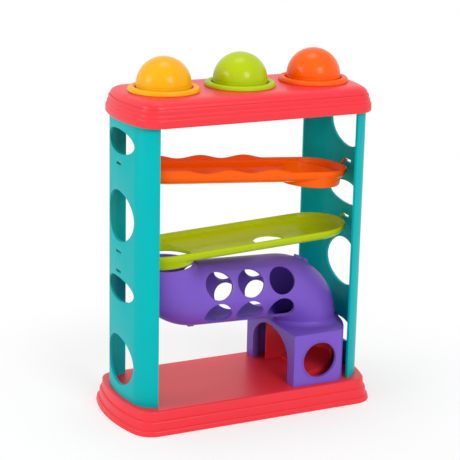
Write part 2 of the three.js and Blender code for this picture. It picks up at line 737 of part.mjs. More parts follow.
function place(name, body, material, parent = tower) {
  const mesh = new THREE.Mesh(geometryOf(body), material);
  mesh.name = name;
  parent.add(mesh);
  return mesh;
}

// Slots for the ramps' tabs at a wall on side -1 or 1
const wallMiddleX = wallPlan.halfLength - wallThickness / 2;
const tabSlot = (ramp, low, side) => ({
  z: rampHeight(ramp, side * wallMiddleX, low) + ramp.tabRise,
  lean: wallThickness * Math.tan(THREE.MathUtils.degToRad(ramp.slope)),
});
const rightSlots = [tabSlot(upperRamp, upperLow, 1), tabSlot(lowerRamp, lowerLow, 1)];
const leftSlots = [
  tabSlot(upperRamp, upperLow, -1), tabSlot(lowerRamp, lowerLow, -1), { z: tubeTabZ, lean: 0 },
];

place('base_tray', baseTray(), red);
place('ball_scoop', ballScoop(), red);
place('right_wall', endWall(false, rightSlots), teal);
place('left_wall', mirroredX(endWall(true, leftSlots)), teal);
place('roof_frame', roofFrame(), red);
place('roof_cap', roofCap(), red);

const colours = [['yellow', yellow], ['green', lime], ['orange', orange]];
colours.forEach(([name, material], i) => {
  place(`ring_${name}`, ring(), material).position.set(ringPlaces[i], 0, 0);
  place(`ball_${name}`, ball(), material).position.set(ringPlaces[i], 0, ballZ);
});

const upper = place('upper_ramp', rampBody(upperRamp, { wavy: true, peepHole: 0 }), orange);
upper.position.z = upperRamp.middle;
upper.rotation.y = THREE.MathUtils.degToRad(upperRamp.slope);

const lowerGroup = new THREE.Group();
lowerGroup.position.z = lowerRamp.middle;
lowerGroup.rotation.y = -THREE.MathUtils.degToRad(lowerRamp.slope);
tower.add(lowerGroup);
const lowerBody = rampBody(lowerRamp, { wavy: false, peepHole: -peepHoleX });
const lower = place('lower_ramp', lowerBody, lime, lowerGroup);
lower.rotation.z = Math.PI;

place('tube_front_shell', tubeShell(-1), purple);
place('tube_back_shell', tubeShell(1), purple);
place('exit_block', exitBlock(), purple);

screwPlaces.roof.forEach(({ x, y }, i) => {
  place(`roof_screw_${i + 1}`, screw(), steel).position.set(x, y, roofFloor);
});
screwPlaces.block.forEach(({ x, y }, i) => {
  place(`block_screw_${i + 1}`, screw(), steel).position.set(x, y, baseHeight - baseSkin - seatGap);
});
screwPlaces.scoop.forEach(({ x, y }) => {
  place('scoop_screw', screw(), steel).position.set(x, y, baseHeight - baseSkin - seatGap);
});

export default tower;
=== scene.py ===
# %% [markdown]
# # A pound and roll tower
# The toy is a tower of moulded plastic. Balls are knocked through soft rings in its roof, roll down two ramps
# and a tube, and come out of a block on the base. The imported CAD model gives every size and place. This
# lesson models each piece again with Blender's own tools, with smooth walls, rounded edges and real
# thickness, and lets it stand for its CAD node.

# %% Load the frame
import math

import bpy
from mathutils import Matrix, Vector


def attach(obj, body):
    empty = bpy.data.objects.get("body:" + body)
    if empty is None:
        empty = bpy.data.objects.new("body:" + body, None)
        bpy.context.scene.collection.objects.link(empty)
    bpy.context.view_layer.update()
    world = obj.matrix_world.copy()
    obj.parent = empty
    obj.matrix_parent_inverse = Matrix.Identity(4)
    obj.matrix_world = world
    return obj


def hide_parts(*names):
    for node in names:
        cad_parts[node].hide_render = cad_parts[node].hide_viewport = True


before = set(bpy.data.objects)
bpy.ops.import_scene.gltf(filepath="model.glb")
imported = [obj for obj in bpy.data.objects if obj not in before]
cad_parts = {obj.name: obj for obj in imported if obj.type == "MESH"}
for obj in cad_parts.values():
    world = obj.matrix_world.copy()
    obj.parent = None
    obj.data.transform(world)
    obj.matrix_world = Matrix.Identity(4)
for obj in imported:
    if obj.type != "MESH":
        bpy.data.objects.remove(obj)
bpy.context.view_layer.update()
MM = 0.001


# %% [markdown]
# ## Plastic
# All moulded toys share a few marks: a faint cloudiness of the pigment, a skin that is not quite flat, and a
# gloss that varies a little where the mould was polished by hand. One node group makes these three, and each
# material feeds it its own values, so the colours differ and the skin stays of one family.

# %% Node helpers
def new_group(name, inputs, outputs):
    group = bpy.data.node_groups.new(name, "ShaderNodeTree")
    for label, kind, value in inputs:
        socket = group.interface.new_socket(label, in_out="INPUT", socket_type=kind)
        socket.default_value = value
    for label, kind in outputs:
        group.interface.new_socket(label, in_out="OUTPUT", socket_type=kind)
    return group, group.nodes.new("NodeGroupInput"), group.nodes.new("NodeGroupOutput")


def feed(tree, socket, source):
    """Gives a socket a number, or links it to another node's output."""
    if isinstance(source, (int, float)):
        socket.default_value = source
    else:
        tree.links.new(source, socket)


def noise(tree, coordinates, scale, detail):
    node = tree.nodes.new("ShaderNodeTexNoise")
    for label, source in (("Vector", coordinates), ("Scale", scale), ("Detail", detail)):
        feed(tree, node.inputs[label], source)
    return node.outputs["Fac"]


def ranged(tree, value, low, high):
    node = tree.nodes.new("ShaderNodeMapRange")
    for label, source in (("Value", value), ("To Min", low), ("To Max", high)):
        feed(tree, node.inputs[label], source)
    return node.outputs["Result"]


def reckon(tree, operation, first, second):
    node = tree.nodes.new("ShaderNodeMath")
    node.operation = operation
    for socket, source in zip(node.inputs, (first, second)):
        feed(tree, socket, source)
    return node.outputs[0]


print("groups so far:", len(bpy.data.node_groups))

# %% Node group for moulded skin
CLOUD_SCALE, GLOSS_SCALE, PEEL_SCALE = 22, 140, 420
CLOUD_DETAIL, GLOSS_DETAIL, PEEL_DETAIL = 2, 3, 2

moulded, given, out = new_group(
    "Moulded skin",
    [("Pigment", "NodeSocketColor", (0.5, 0.5, 0.5, 1)), ("Cloud", "NodeSocketFloat", 0.05),
     ("Polish", "NodeSocketFloat", 0.3), ("Unevenness", "NodeSocketFloat", 0.06)],
    [("Color", "NodeSocketColor"), ("Roughness", "NodeSocketFloat"), ("Height", "NodeSocketFloat")])
where = moulded.nodes.new("ShaderNodeTexCoord").outputs["Object"]
darkest = reckon(moulded, "SUBTRACT", 1, given.outputs["Cloud"])
shade = ranged(moulded, noise(moulded, where, CLOUD_SCALE, CLOUD_DETAIL), darkest, 1)
tint = moulded.nodes.new("ShaderNodeVectorMath")
tint.operation = "SCALE"
moulded.links.new(given.outputs["Pigment"], tint.inputs[0])
moulded.links.new(shade, tint.inputs["Scale"])
moulded.links.new(tint.outputs[0], out.inputs["Color"])
gloss = noise(moulded, where, GLOSS_SCALE, GLOSS_DETAIL)
spread = reckon(moulded, "MULTIPLY", gloss, given.outputs["Unevenness"])
moulded.links.new(reckon(moulded, "ADD", given.outputs["Polish"], spread), out.inputs["Roughness"])
moulded.links.new(noise(moulded, where, PEEL_SCALE, PEEL_DETAIL), out.inputs["Height"])
print("group:", moulded.name)

# %% [markdown]
# ## One material for each colour
# The colours are written as a designer would give them, in hexadecimal, and turned to linear light. The balls
# are the glossiest pieces and the soft rings the dullest. The peel of the mould is a very low bump.

# %% Materials
PEEL_DEPTH = 0.2


def linear(code):
    """Linear light from a hexadecimal colour."""
    parts = [int(code[i:i + 2], 16) / 255 for i in (0, 2, 4)]
    return [c / 12.92 if c <= 0.04045 else ((c + 0.055) / 1.055) ** 2.4 for c in parts] + [1]


def plastic(name, code, polish, cloud=0.06, unevenness=0.08, peel=0.03, specular=0.22):
    material = bpy.data.materials.new(name)
    material.use_nodes = True
    tree = material.node_tree
    shader = tree.nodes["Principled BSDF"]
    skin = tree.nodes.new("ShaderNodeGroup")
    skin.node_tree = moulded
    values = {"Pigment": linear(code), "Cloud": cloud, "Polish": polish, "Unevenness": unevenness}
    for label, value in values.items():
        skin.inputs[label].default_value = value
    tree.links.new(skin.outputs["Color"], shader.inputs["Base Color"])
    tree.links.new(skin.outputs["Roughness"], shader.inputs["Roughness"])
    bump = tree.nodes.new("ShaderNodeBump")
    bump.inputs["Strength"].default_value = peel
    bump.inputs["Distance"].default_value = PEEL_DEPTH * MM
    tree.links.new(skin.outputs["Height"], bump.inputs["Height"])
    tree.links.new(bump.outputs["Normal"], shader.inputs["Normal"])
    shader.inputs["Specular IOR Level"].default_value = specular
    return material


RED, TEAL, ORANGE, LIME, PURPLE, YELLOW = "f0303c", "00b4b6", "ff6200", "b4cc00", "7a56c4", "f5b000"
BALL_COLOURS = {"yellow": YELLOW, "green": LIME, "orange": ORANGE}
red_shell = plastic("red shell", RED, 0.34, unevenness=0.02, peel=0.01, specular=0.34)
teal_wall = plastic("teal wall", TEAL, 0.32, specular=0.08)
orange_ramp = plastic("orange ramp", ORANGE, 0.22, specular=0.14)
lime_ramp = plastic("lime ramp", LIME, 0.22, specular=0.14)
purple_tube = plastic("purple tube", PURPLE, 0.34)
soft_rings, ball_skins = {}, {}
for name, code in BALL_COLOURS.items():
    soft_rings[name] = plastic(f"soft {name} ring", code, 0.38, peel=0.05)
    ball_skins[name] = plastic(f"{name} ball", code, 0.16, peel=0.015)
print("materials:", len(bpy.data.materials))

# %% [markdown]
# ## Tools for the bench
# Most pieces start as a line. A vertex is pulled from point to point, as a draughtsman traces an outline, and
# the line is then filled, raised, spun or given a wall. Lengths are in millimetres, because the toy's drawing
# is. An operator acts on whatever is selected, so the first helpers make sure of the selection.

# %% Selection
def object_mode():
    if bpy.context.object and bpy.context.object.mode != "OBJECT":
        bpy.ops.object.mode_set(mode="OBJECT")


def only(piece):
    object_mode()
    bpy.ops.object.select_all(action="DESELECT")
    piece.select_set(True)
    bpy.context.view_layer.objects.active = piece


def edit(piece, kind="FACE", action="SELECT"):
    """Opens a piece with all of its faces, edges or vertices selected, or none."""
    only(piece)
    bpy.ops.object.mode_set(mode="EDIT")
    bpy.ops.mesh.select_mode(type=kind)
    bpy.ops.mesh.select_all(action=action)


def pick_edges(piece, test):
    """Selects the edges whose middle, in millimetres, passes the test."""
    edit(piece, "EDGE", "DESELECT")
    object_mode()
    points = piece.data.vertices
    for edge in piece.data.edges:
        first, second = (points[i].co for i in edge.vertices)
        edge.select = test((first + second) / 2 / MM)
    bpy.ops.object.mode_set(mode="EDIT")


def fill_open_edges(piece):
    """Closes each open end with a face, and leaves what it made selected."""
    edit(piece, "EDGE", "DESELECT")
    bpy.ops.mesh.select_non_manifold(extend=False, use_wire=False, use_boundary=True, use_multi_face=False,
                                     use_non_contiguous=False, use_verts=False)
    bpy.ops.mesh.edge_face_add()


print("CAD nodes left selected by the load:", len(bpy.context.selected_objects))

# %% Drawing
WELD = 0.002


def start(name, adder, **sizes):
    object_mode()
    bpy.ops.object.select_all(action="DESELECT")
    adder(**sizes)
    piece = bpy.context.object
    piece.name = name
    bpy.ops.object.transform_apply(location=True, rotation=True, scale=True)
    return piece


def draw(name, points, closed=False):
    """A line through points in millimetres, pulled from a single vertex."""
    piece = start(name, bpy.ops.mesh.primitive_plane_add, size=MM, location=Vector(points[0]) * MM)
    edit(piece, "VERT")
    bpy.ops.mesh.merge(type="CENTER")
    stops = [Vector(p) for p in points] + ([Vector(points[0])] if closed else [])
    for here, there in zip(stops, stops[1:]):
        bpy.ops.mesh.extrude_vertices_move(TRANSFORM_OT_translate={"value": (there - here) * MM})
    bpy.ops.mesh.select_all(action="SELECT")
    bpy.ops.mesh.remove_doubles(threshold=WELD * MM)
    return piece


def weld(piece, reach=WELD):
    """Merges points that lie closer together than the reach, in millimetres."""
    edit(piece, "VERT")
    bpy.ops.mesh.remove_doubles(threshold=reach * MM)


def tidy_normals(piece):
    weld(piece)
    bpy.ops.mesh.normals_make_consistent(inside=False)
    object_mode()


def flat_plug(name, points, way):
    """A drawn outline, filled and pushed along a way, in millimetres."""
    plug = draw(name, points, closed=True)
    bpy.ops.mesh.edge_face_add()
    bpy.ops.mesh.extrude_region_move(TRANSFORM_OT_translate={"value": Vector(way) * MM})
    tidy_normals(plug)
    return plug


def block(x0, x1, y0, y1, z0, z1):
    """A cube between two corners, in millimetres."""
    middle = Vector(((x0 + x1) / 2, (y0 + y1) / 2, (z0 + z1) / 2)) * MM
    piece = start("block", bpy.ops.mesh.primitive_cube_add, size=1, location=middle)
    edit(piece)
    sides = ((x1 - x0) * MM, (y1 - y0) * MM, (z1 - z0) * MM)
    bpy.ops.transform.resize(value=sides, center_override=middle)
    object_mode()
    return piece


def round_plug(x, y, radius, z0, z1, vertices=96):
    """An upright cylinder between two heights, in millimetres."""
    return start("plug", bpy.ops.mesh.primitive_cylinder_add, vertices=vertices, radius=radius * MM,
                 depth=(z1 - z0) * MM, location=Vector((x, y, (z0 + z1) / 2)) * MM)


print("points within", WELD, "mm of each other are merged")

# %% Cutting, placing and handing over
SHARP, SHARPER = 34, 40


def apply_modifier(piece, kind, **settings):
    only(piece)
    modifier = piece.modifiers.new(kind.title(), kind)
    for label, value in settings.items():
        setattr(modifier, label, value)
    bpy.ops.object.modifier_apply(modifier=modifier.name)


def boolean(piece, tools, operation="DIFFERENCE"):
    for tool in tools:
        apply_modifier(piece, "BOOLEAN", object=tool, operation=operation, solver="EXACT")
        bpy.data.objects.remove(tool)


def soften(piece, width, segments=2, angle=SHARP):
    """Rounds the edges that turn by more than an angle, in degrees."""
    apply_modifier(piece, "BEVEL", width=width * MM, segments=segments, limit_method="ANGLE",
                   angle_limit=math.radians(angle), use_clamp_overlap=True)


def lay(piece, matrix):
    """Moves the mesh itself, so the piece's own origin stays at the frame's."""
    piece.matrix_world = matrix
    only(piece)
    bpy.ops.object.transform_apply(location=True, rotation=True, scale=True)
    return piece


def join_to(piece, extra):
    """Makes a closed extra a part of a piece's mesh; it may sink into the piece."""
    only(piece)
    extra.select_set(True)
    bpy.ops.object.join()


def copy_of(piece, name):
    """A copy with a mesh of its own."""
    only(piece)
    bpy.ops.object.duplicate(linked=False)
    copy = bpy.context.object
    copy.name = name
    return copy


def hand_over(piece, material, slot, body, *nodes, angle=32):
    """Last step of every piece: finish, place in the frame, and the CAD nodes that it stands for."""
    only(piece)
    bpy.ops.object.shade_smooth_by_angle(angle=math.radians(angle))
    piece.data.materials.clear()
    piece.data.materials.append(material)
    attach(piece, body)
    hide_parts(*nodes)
    print(piece.name, len(piece.data.polygons), "faces")


print("edges that turn by more than", SHARP, "degrees are rounded, or", SHARPER, "on pieces with many cuts")

# %% [markdown]
# ## The plan of the tower
# Base, walls and roof share one plan: a rectangle whose short ends are bowed and whose corners are round. It
# is drawn once as a function of its half length, half depth, end radius and corner radius, with an inset for
# each piece.

# %% Plan
END_STEPS, CORNER_STEPS = 12, 9
BASE = (127, 60.5, 150, 21)
ROOF = (119, 52.5, 142, 21)
WALL = (116.2, 47.5, 139.2, 25)


def inset_plan(plan, inset):
    return tuple(v - inset for v in plan)


def plan_quarter(half_length, half_depth, end_radius, corner_radius, last=math.pi / 2):
    """From the middle of the right end round the back corner, up to a last angle of that corner."""
    end_x = half_length - end_radius
    corner_y = half_depth - corner_radius
    reach = end_radius - corner_radius
    corner_x = end_x + math.sqrt(reach ** 2 - corner_y ** 2)
    turn = math.atan2(corner_y, corner_x - end_x)
    points = []
    for i in range(END_STEPS + 1):
        a = turn * i / END_STEPS
        points.append((end_x + end_radius * math.cos(a), end_radius * math.sin(a)))
    for i in range(1, CORNER_STEPS + 1):
        a = turn + (last - turn) * i / CORNER_STEPS
        points.append((corner_x + corner_radius * math.cos(a), corner_y + corner_radius * math.sin(a)))
    return points


def plan_outline(plan, z):
    quarter = plan_quarter(*plan)
    back = quarter + [(-x, y) for x, y in reversed(quarter)]
    front = [(x, -y) for x, y in reversed(back[1:-1])]
    return [(x, y, z) for x, y in back + front]


print("plan points:", len(plan_outline(BASE, 0)))

# %% [markdown]
# ## Base
# The base is a tray that stands open side down. Three bands climb its side, each set in a little from the one
# below and each with a soft upper edge. Inset with a depth does both at once, so the whole side is one ladder
# of small steps. The hollow below is made the same way, from a face that fills the open bottom. Each step is
# written as the rise along the face's normal and the inset.

# %% Stepped base
def fill_up(piece):
    """Fills the drawn outline with one face that looks up, and leaves it selected."""
    bpy.ops.mesh.edge_face_add()
    object_mode()
    if piece.data.polygons[0].normal.z < 0:
        edit(piece)
        bpy.ops.mesh.flip_normals()
    edit(piece)


def close_below(piece):
    """Fills the open lower edge with a face that looks down, and leaves it selected."""
    fill_open_edges(piece)
    object_mode()
    looks_up = next(face for face in piece.data.polygons if face.select).normal.z > 0
    bpy.ops.object.mode_set(mode="EDIT")
    bpy.ops.mesh.select_mode(type="FACE")
    if looks_up:
        bpy.ops.mesh.flip_normals()


def terrace(steps):
    """Insets the selected face in steps of (rise, inset), in millimetres."""
    for rise, inset in steps:
        bpy.ops.mesh.inset(thickness=inset * MM, depth=rise * MM, use_even_offset=True)


SOFT_STEP = [(0.8, 0.12), (0.6, 0.25), (0.4, 0.4), (0.2, 0.5), (0.05, 0.73), (0.2, 0.05)]
BASE_BANDS = [[(2.75, 0.55)] + SOFT_STEP, [(5.55, 0.55)] + SOFT_STEP,
              [(7.3, 0.5), (0.5, 0.2), (0.4, 0.4), (0.25, 0.6), (0.12, 0.7), (0.03, 0.8)]]
BASE_HOLLOW = [(0, 2.8), (-4.4, 1.6), (-7.6, 2.4), (-5.6, 1.7), (-1, 1.2)]

base = draw("stepped_base", plan_outline(BASE, 0), closed=True)
fill_up(base)
for band in BASE_BANDS:
    terrace(band)
close_below(base)
terrace(BASE_HOLLOW)
tidy_normals(base)
print("base top:", round(max(v.co.z for v in base.data.vertices) / MM, 2))

# %% [markdown]
# ## End walls
# Each end wall is a thin sheet that follows the bowed end of the plan and turns part of the way round its
# corners. Its outline is drawn from above as a strip with both faces, filled and raised. Oval holes are cut
# with stretched cylinders, tall and short in turn: the right wall starts with a short one at the bottom, the
# left wall with a tall one. Narrow slots take the tabs of ramps and tube. A thicker copy of the plain strip
# cuts the sockets in base and roof, so a fine gap shows round the wall's foot.

# %% Wall strip
WALL_THICKNESS, WALL_BOTTOM, WALL_TOP = 2.6, 10.4, 283.2
FRONT_TURN, BACK_TURN = math.radians(73), math.radians(85)
SOCKET_GAP = 0.25


def strip_side(inset, grow):
    sizes = inset_plan(WALL, inset)
    front, back = (plan_quarter(*sizes, turn + grow / sizes[3]) for turn in (FRONT_TURN, BACK_TURN))
    return [(x, -y) for x, y in reversed(front[1:])] + back


def wall_strip(name, grow, z0, z1):
    """The right-hand wall without its holes, thicker by grow on every side."""
    line = strip_side(-grow, grow) + strip_side(WALL_THICKNESS + grow, grow)[::-1]
    piece = draw(name, [(x, y, z0) for x, y in line], closed=True)
    fill_up(piece)
    bpy.ops.mesh.extrude_region_move(TRANSFORM_OT_translate={"value": (0, 0, (z1 - z0) * MM)})
    tidy_normals(piece)
    return piece


def mirror_x(piece):
    edit(piece)
    bpy.ops.transform.resize(value=(-1, 1, 1), center_override=(0, 0, 0))
    bpy.ops.mesh.normals_make_consistent(inside=False)
    object_mode()
    return piece


def wall_sockets(z0, z1):
    """Room for an end of both walls between two heights."""
    right = wall_strip("socket", SOCKET_GAP, z0, z1)
    return [right, mirror_x(wall_strip("socket", SOCKET_GAP, z0, z1))]


print("wall strip points on one side:", len(strip_side(0, 0)))

# %% Holes and slots
HOLE_COUNT, HOLE_MIDDLE, HOLE_PITCH = 4, 155.3, 67.2
HOLE_LEVELS = [HOLE_MIDDLE + (i - (HOLE_COUNT - 1) / 2) * HOLE_PITCH for i in range(HOLE_COUNT)]
HOLE_WIDTH, HOLE_TALL, HOLE_SHORT = 57, 46, 21.8
PUNCH_LENGTH, PUNCH_SIDES = 60, 72
SLOT_FROM, SLOT_TO = WALL[0] - 30, WALL[0] + 5
WALL_EDGE, CUT_WELD = 0.45, 0.12


def oval_punch(z, height):
    """A punch along X for a hole of the right-hand wall."""
    punch = start("punch", bpy.ops.mesh.primitive_cylinder_add, vertices=PUNCH_SIDES, radius=1, depth=1,
                  location=(0, 0, 0), rotation=(0, math.pi / 2, 0))
    edit(punch)
    bpy.ops.transform.resize(value=(PUNCH_LENGTH * MM, HOLE_WIDTH / 2 * MM, height / 2 * MM))
    bpy.ops.transform.translate(value=(WALL[0] * MM, 0, z * MM))
    object_mode()
    return punch


def end_wall(name, heights, slots, slot_half, slot_rise):
    """A right-hand wall: holes of two heights in turn, from the bottom up, and slots at given levels."""
    wall = wall_strip(name, 0, WALL_BOTTOM, WALL_TOP)
    boolean(wall, [oval_punch(z, heights[i % 2]) for i, z in enumerate(HOLE_LEVELS)])
    boolean(wall, [block(SLOT_FROM, SLOT_TO, -slot_half, slot_half, z - slot_rise, z + slot_rise)
                   for z in slots])
    weld(wall, CUT_WELD)
    soften(wall, WALL_EDGE, angle=SHARPER)
    return wall


print("hole levels:", [round(z, 1) for z in HOLE_LEVELS])

# %% Both walls and their sockets
RAMP_SLOPES = {"upper": math.radians(4.1), "lower": math.radians(-2.6)}
RAMP_MIDDLES = {"upper": 224.5, "lower": 160}
TAB_RISES = {"upper": 3.4, "lower": 1.2}
TUBE_TAB_Z = 137.83
WALL_MIDDLE_X = WALL[0] - WALL_THICKNESS / 2
RIGHT_SLOT, LEFT_SLOT = (6.8, 1.5), (5.4, 1.1)
FOOT_GAP, ABOVE_BASE = 0.1, 30


def ramp_slots(x):
    """The levels of the ramps' tabs where they pass a wall."""
    return [RAMP_MIDDLES[ramp] - x * math.tan(slope) + TAB_RISES[ramp] for ramp, slope in RAMP_SLOPES.items()]


right_wall = end_wall("right_end_wall", (HOLE_SHORT, HOLE_TALL), ramp_slots(WALL_MIDDLE_X), *RIGHT_SLOT)
left_wall = mirror_x(end_wall("left_end_wall", (HOLE_TALL, HOLE_SHORT),
                              ramp_slots(-WALL_MIDDLE_X) + [TUBE_TAB_Z], *LEFT_SLOT))
boolean(base, wall_sockets(WALL_BOTTOM - FOOT_GAP, ABOVE_BASE))
hand_over(base, red_shell, "red_shell", "tower", "base_tray")
hand_over(right_wall, teal_wall, "teal_wall", "tower", "right_wall")
hand_over(left_wall, teal_wall, "teal_wall", "tower", "left_wall")

# %% [markdown]
# ## Roof
# The roof is two mouldings. The lower frame repeats the stepped bands of the base and holds the heads of the
# walls. The cap above it has a broad rounded shoulder and a flat top with a hole for each ring. A shoulder is
# a ladder of insets whose steps follow a curve.

# %% Roof frame
ROOF_BOTTOM, ROOF_SPLIT, ROOF_TOP = 275.2, 291, 298
ROOF_BANDS = [[(4.9, 0.08), (0.8, 0.1), (0.65, 0.2), (0.45, 0.32), (0.2, 0.35), (0.1, 0.25)],
              [(1.5, 0.06), (0.75, 0.1), (0.6, 0.2), (0.45, 0.3), (0.2, 0.3), (0.1, 0.24)],
              [(2.2, 0.06), (0.8, 0.1), (0.6, 0.2), (0.4, 0.34)]]
FRAME_ROOM = [(0, 2.4), (-9.2, 0.1)]
FRAME_HEM = [(0.45, 0.15), (0.35, 0.3), (0.2, 0.4), (0.1, 0.5), (0, 3.2), (-4, 0.1)]
HEM_RISE, HEAD_GAP = 1.1, 0.2
BELOW_FRAME, ABOVE_FRAME = 270, 295
BALL_PLACES = {"yellow": -74, "green": 0, "orange": 74}
BALL_HOLE = 26.5
ROOF_SCREWS = [(37, 38), (37, -38), (-37, 38), (-37, -38)]
SCREW_HOLE, SCREW_SIDES = 1.8, 16

roof_frame = draw("roof_frame_moulding", plan_outline(ROOF, ROOF_BOTTOM + HEM_RISE), closed=True)
fill_up(roof_frame)
for band in ROOF_BANDS:
    terrace(band)
terrace(FRAME_ROOM)
close_below(roof_frame)
terrace(FRAME_HEM)
tidy_normals(roof_frame)
boolean(roof_frame, [round_plug(x, 0, BALL_HOLE, BELOW_FRAME, ABOVE_FRAME) for x in BALL_PLACES.values()])
boolean(roof_frame, wall_sockets(BELOW_FRAME, WALL_TOP + HEAD_GAP))
boolean(roof_frame, [round_plug(x, y, SCREW_HOLE, BELOW_FRAME, ABOVE_FRAME, SCREW_SIDES)
                     for x, y in ROOF_SCREWS])
hand_over(roof_frame, red_shell, "red_shell", "tower", "roof_frame")

# %% Roof cap
CAP_INSET, CAP_CROWN, CAP_GAP = 4, 16.4, 0.1
CAP_ROOM = [(0, 2.4), (-3.4, 4.5), (-1, 6)]
SHOULDER_STEPS, SHOULDER_PACE, SHOULDER_FULLNESS = 14, 1.6, 3
RING_HOLE, BELOW_CAP, ABOVE_CAP = 30.6, 285, 305

cap_plan = plan_outline(inset_plan(ROOF, CAP_INSET), ROOF_SPLIT + CAP_GAP)
cap = draw("roof_cap_moulding", cap_plan, closed=True)
fill_up(cap)
shares = [(i / SHOULDER_STEPS) ** SHOULDER_PACE for i in range(SHOULDER_STEPS + 1)]
heights = [(ROOF_TOP - ROOF_SPLIT) * math.sqrt(1 - (1 - t) ** SHOULDER_FULLNESS) for t in shares]
heights[0] = CAP_GAP
terrace([(z1 - z0, (t1 - t0) * CAP_CROWN)
         for z0, z1, t0, t1 in zip(heights, heights[1:], shares, shares[1:])])
close_below(cap)
terrace(CAP_ROOM)
tidy_normals(cap)
boolean(cap, [round_plug(x, 0, RING_HOLE, BELOW_CAP, ABOVE_CAP) for x in BALL_PLACES.values()])
hand_over(cap, red_shell, "red_shell", "tower", "roof_cap")

# %% [markdown]
# ## Rings and balls
# A soft ring is a turned shape: a rounded collar that lies on the roof, a barrel through the hole, and an
# inner lip that holds the ball. Its profile is drawn once on the X-Z plane and spun round the ring's axis. A
# ball starts as a sphere. Its two half shells meet at the equator, where a narrow seam is pressed in.

# %% Soft rings
TURNS = 96
RING_OUTER, RING_BARREL, RING_MOUTH, RING_LIP = 32, 30.3, 25.75, 22.6
SEAT_GAP, SEAT_IN, SEAT_UP, COLLAR_HEIGHT = 0.1, 0.3, 0.4, 4
RING_SEAT, RING_TOP = ROOF_TOP + SEAT_GAP, ROOF_TOP + COLLAR_HEIGHT
COLLAR_ROUND, COLLAR_STEPS = 2.6, 8
MOUTH_ROUND, MOUTH_STEPS = 1.6, 6
LIP_TOP, LIP_BOTTOM, LIP_BREAK = 293, 290.4, 0.4
LIP_EDGE_IN, LIP_EDGE_UP, LIP_EDGE_DOWN = 0.5, 0.2, 0.3


def spin_round(piece, x, steps):
    """Spins a line on the X-Z plane round an upright axis at x."""
    edit(piece, "VERT")
    bpy.ops.mesh.spin(steps=steps, angle=2 * math.pi, center=(x * MM, 0, 0), axis=(0, 0, 1))
    tidy_normals(piece)
    return piece


def turned(name, profile, x=0, steps=TURNS):
    """A closed (radius, z) profile turned about an upright axis."""
    return spin_round(draw(name, [(x + r, 0, z) for r, z in profile], closed=True), x, steps)


def quarter_round(r0, z0, r1, z1, steps, outward):
    """Points of a quarter ellipse between two corners; outward rounds come first up and then in."""
    points = []
    for i in range(steps + 1):
        a = math.pi / 2 * i / steps
        s, c = (math.sin(a), 1 - math.cos(a)) if outward else (1 - math.cos(a), math.sin(a))
        points.append((r0 + (r1 - r0) * c, z0 + (z1 - z0) * s))
    return points


ring_profile = [(RING_LIP + LIP_BREAK, LIP_BOTTOM), (RING_BARREL, LIP_BOTTOM), (RING_BARREL, RING_SEAT),
                (RING_OUTER - SEAT_IN, RING_SEAT)]
ring_profile += quarter_round(RING_OUTER, RING_SEAT + SEAT_UP, RING_OUTER - COLLAR_ROUND, RING_TOP,
                              COLLAR_STEPS, True)
ring_profile += quarter_round(RING_MOUTH + MOUTH_ROUND, RING_TOP, RING_MOUTH, RING_TOP - MOUTH_ROUND,
                              MOUTH_STEPS, False)
ring_profile += [(RING_LIP + LIP_EDGE_IN, LIP_TOP + LIP_EDGE_UP), (RING_LIP, LIP_TOP - LIP_EDGE_DOWN),
                 (RING_LIP, LIP_BOTTOM + LIP_BREAK)]
for colour, x in BALL_PLACES.items():
    ring = turned(f"soft_ring_{colour}", ring_profile, x)
    hand_over(ring, soft_rings[colour], f"ring_{colour}", "tower", f"ring_{colour}")

# %% Balls
BALL_RADIUS, BALL_Z = 24.5, 303.5
BALL_SEGMENTS, BALL_RINGS, BALL_SMOOTH = 72, 36, 60
SEAM_WIDTH, SEAM_DEPTH, SEAM_FIND = 0.3, 0.12, 0.01


def on_equator(middle):
    return abs(middle.z - BALL_Z) < SEAM_FIND


seam_share = 1 - SEAM_DEPTH / BALL_RADIUS
for colour, x in BALL_PLACES.items():
    centre = (x * MM, 0, BALL_Z * MM)
    ball = start(f"{colour}_hollow_ball", bpy.ops.mesh.primitive_uv_sphere_add, segments=BALL_SEGMENTS,
                 ring_count=BALL_RINGS, radius=BALL_RADIUS * MM, location=centre)
    pick_edges(ball, on_equator)
    bpy.ops.mesh.bevel(offset=SEAM_WIDTH * MM, segments=2)
    pick_edges(ball, on_equator)
    bpy.ops.transform.resize(value=(seam_share, seam_share, 1), center_override=centre)
    object_mode()
    hand_over(ball, ball_skins[colour], f"ball_{colour}", f"{colour}_ball", f"ball_{colour}",
              angle=BALL_SMOOTH)

# %% [markdown]
# ## Ramps
# A ramp is a long dish with round ends and a rolled lip. It is drawn level, with the cup at its low end
# towards +X, and then tilted into place. The outline is raised into the lip and sunk along a hollow curve,
# and the underside follows the same curve from a face that closes it below. The cup is a short tapered pipe
# under the low end that the ball drops through. The upper ramp's lip rises and falls in waves along the dish,
# so its points are lifted by a cosine of their place. Tabs for the walls are small closed solids, joined on.

# %% Outline and hollow curve
RAMP_HALF_LENGTH, UPPER_HALF_WIDTH, LOWER_HALF_WIDTH = 109, 32, 34
ROUND_STEPS, STRAIGHT_STEPS = 28, 50
BOWL_STEPS, BOWL_REACH, BOWL_FALL = 9, 1.9, 1.5


def stadium(half_width, z, inset=0):
    """A long outline with round ends, drawn in by an inset."""
    x, r = RAMP_HALF_LENGTH - half_width, half_width - inset
    points = []
    for sign in (1, -1):
        for i in range(ROUND_STEPS + 1):
            a = -math.pi / 2 + math.pi * i / ROUND_STEPS
            points.append((sign * (x + r * math.cos(a)), sign * r * math.sin(a), z))
        points += [(sign * (x - 2 * x * i / STRAIGHT_STEPS), sign * r, z) for i in range(1, STRAIGHT_STEPS)]
    return points


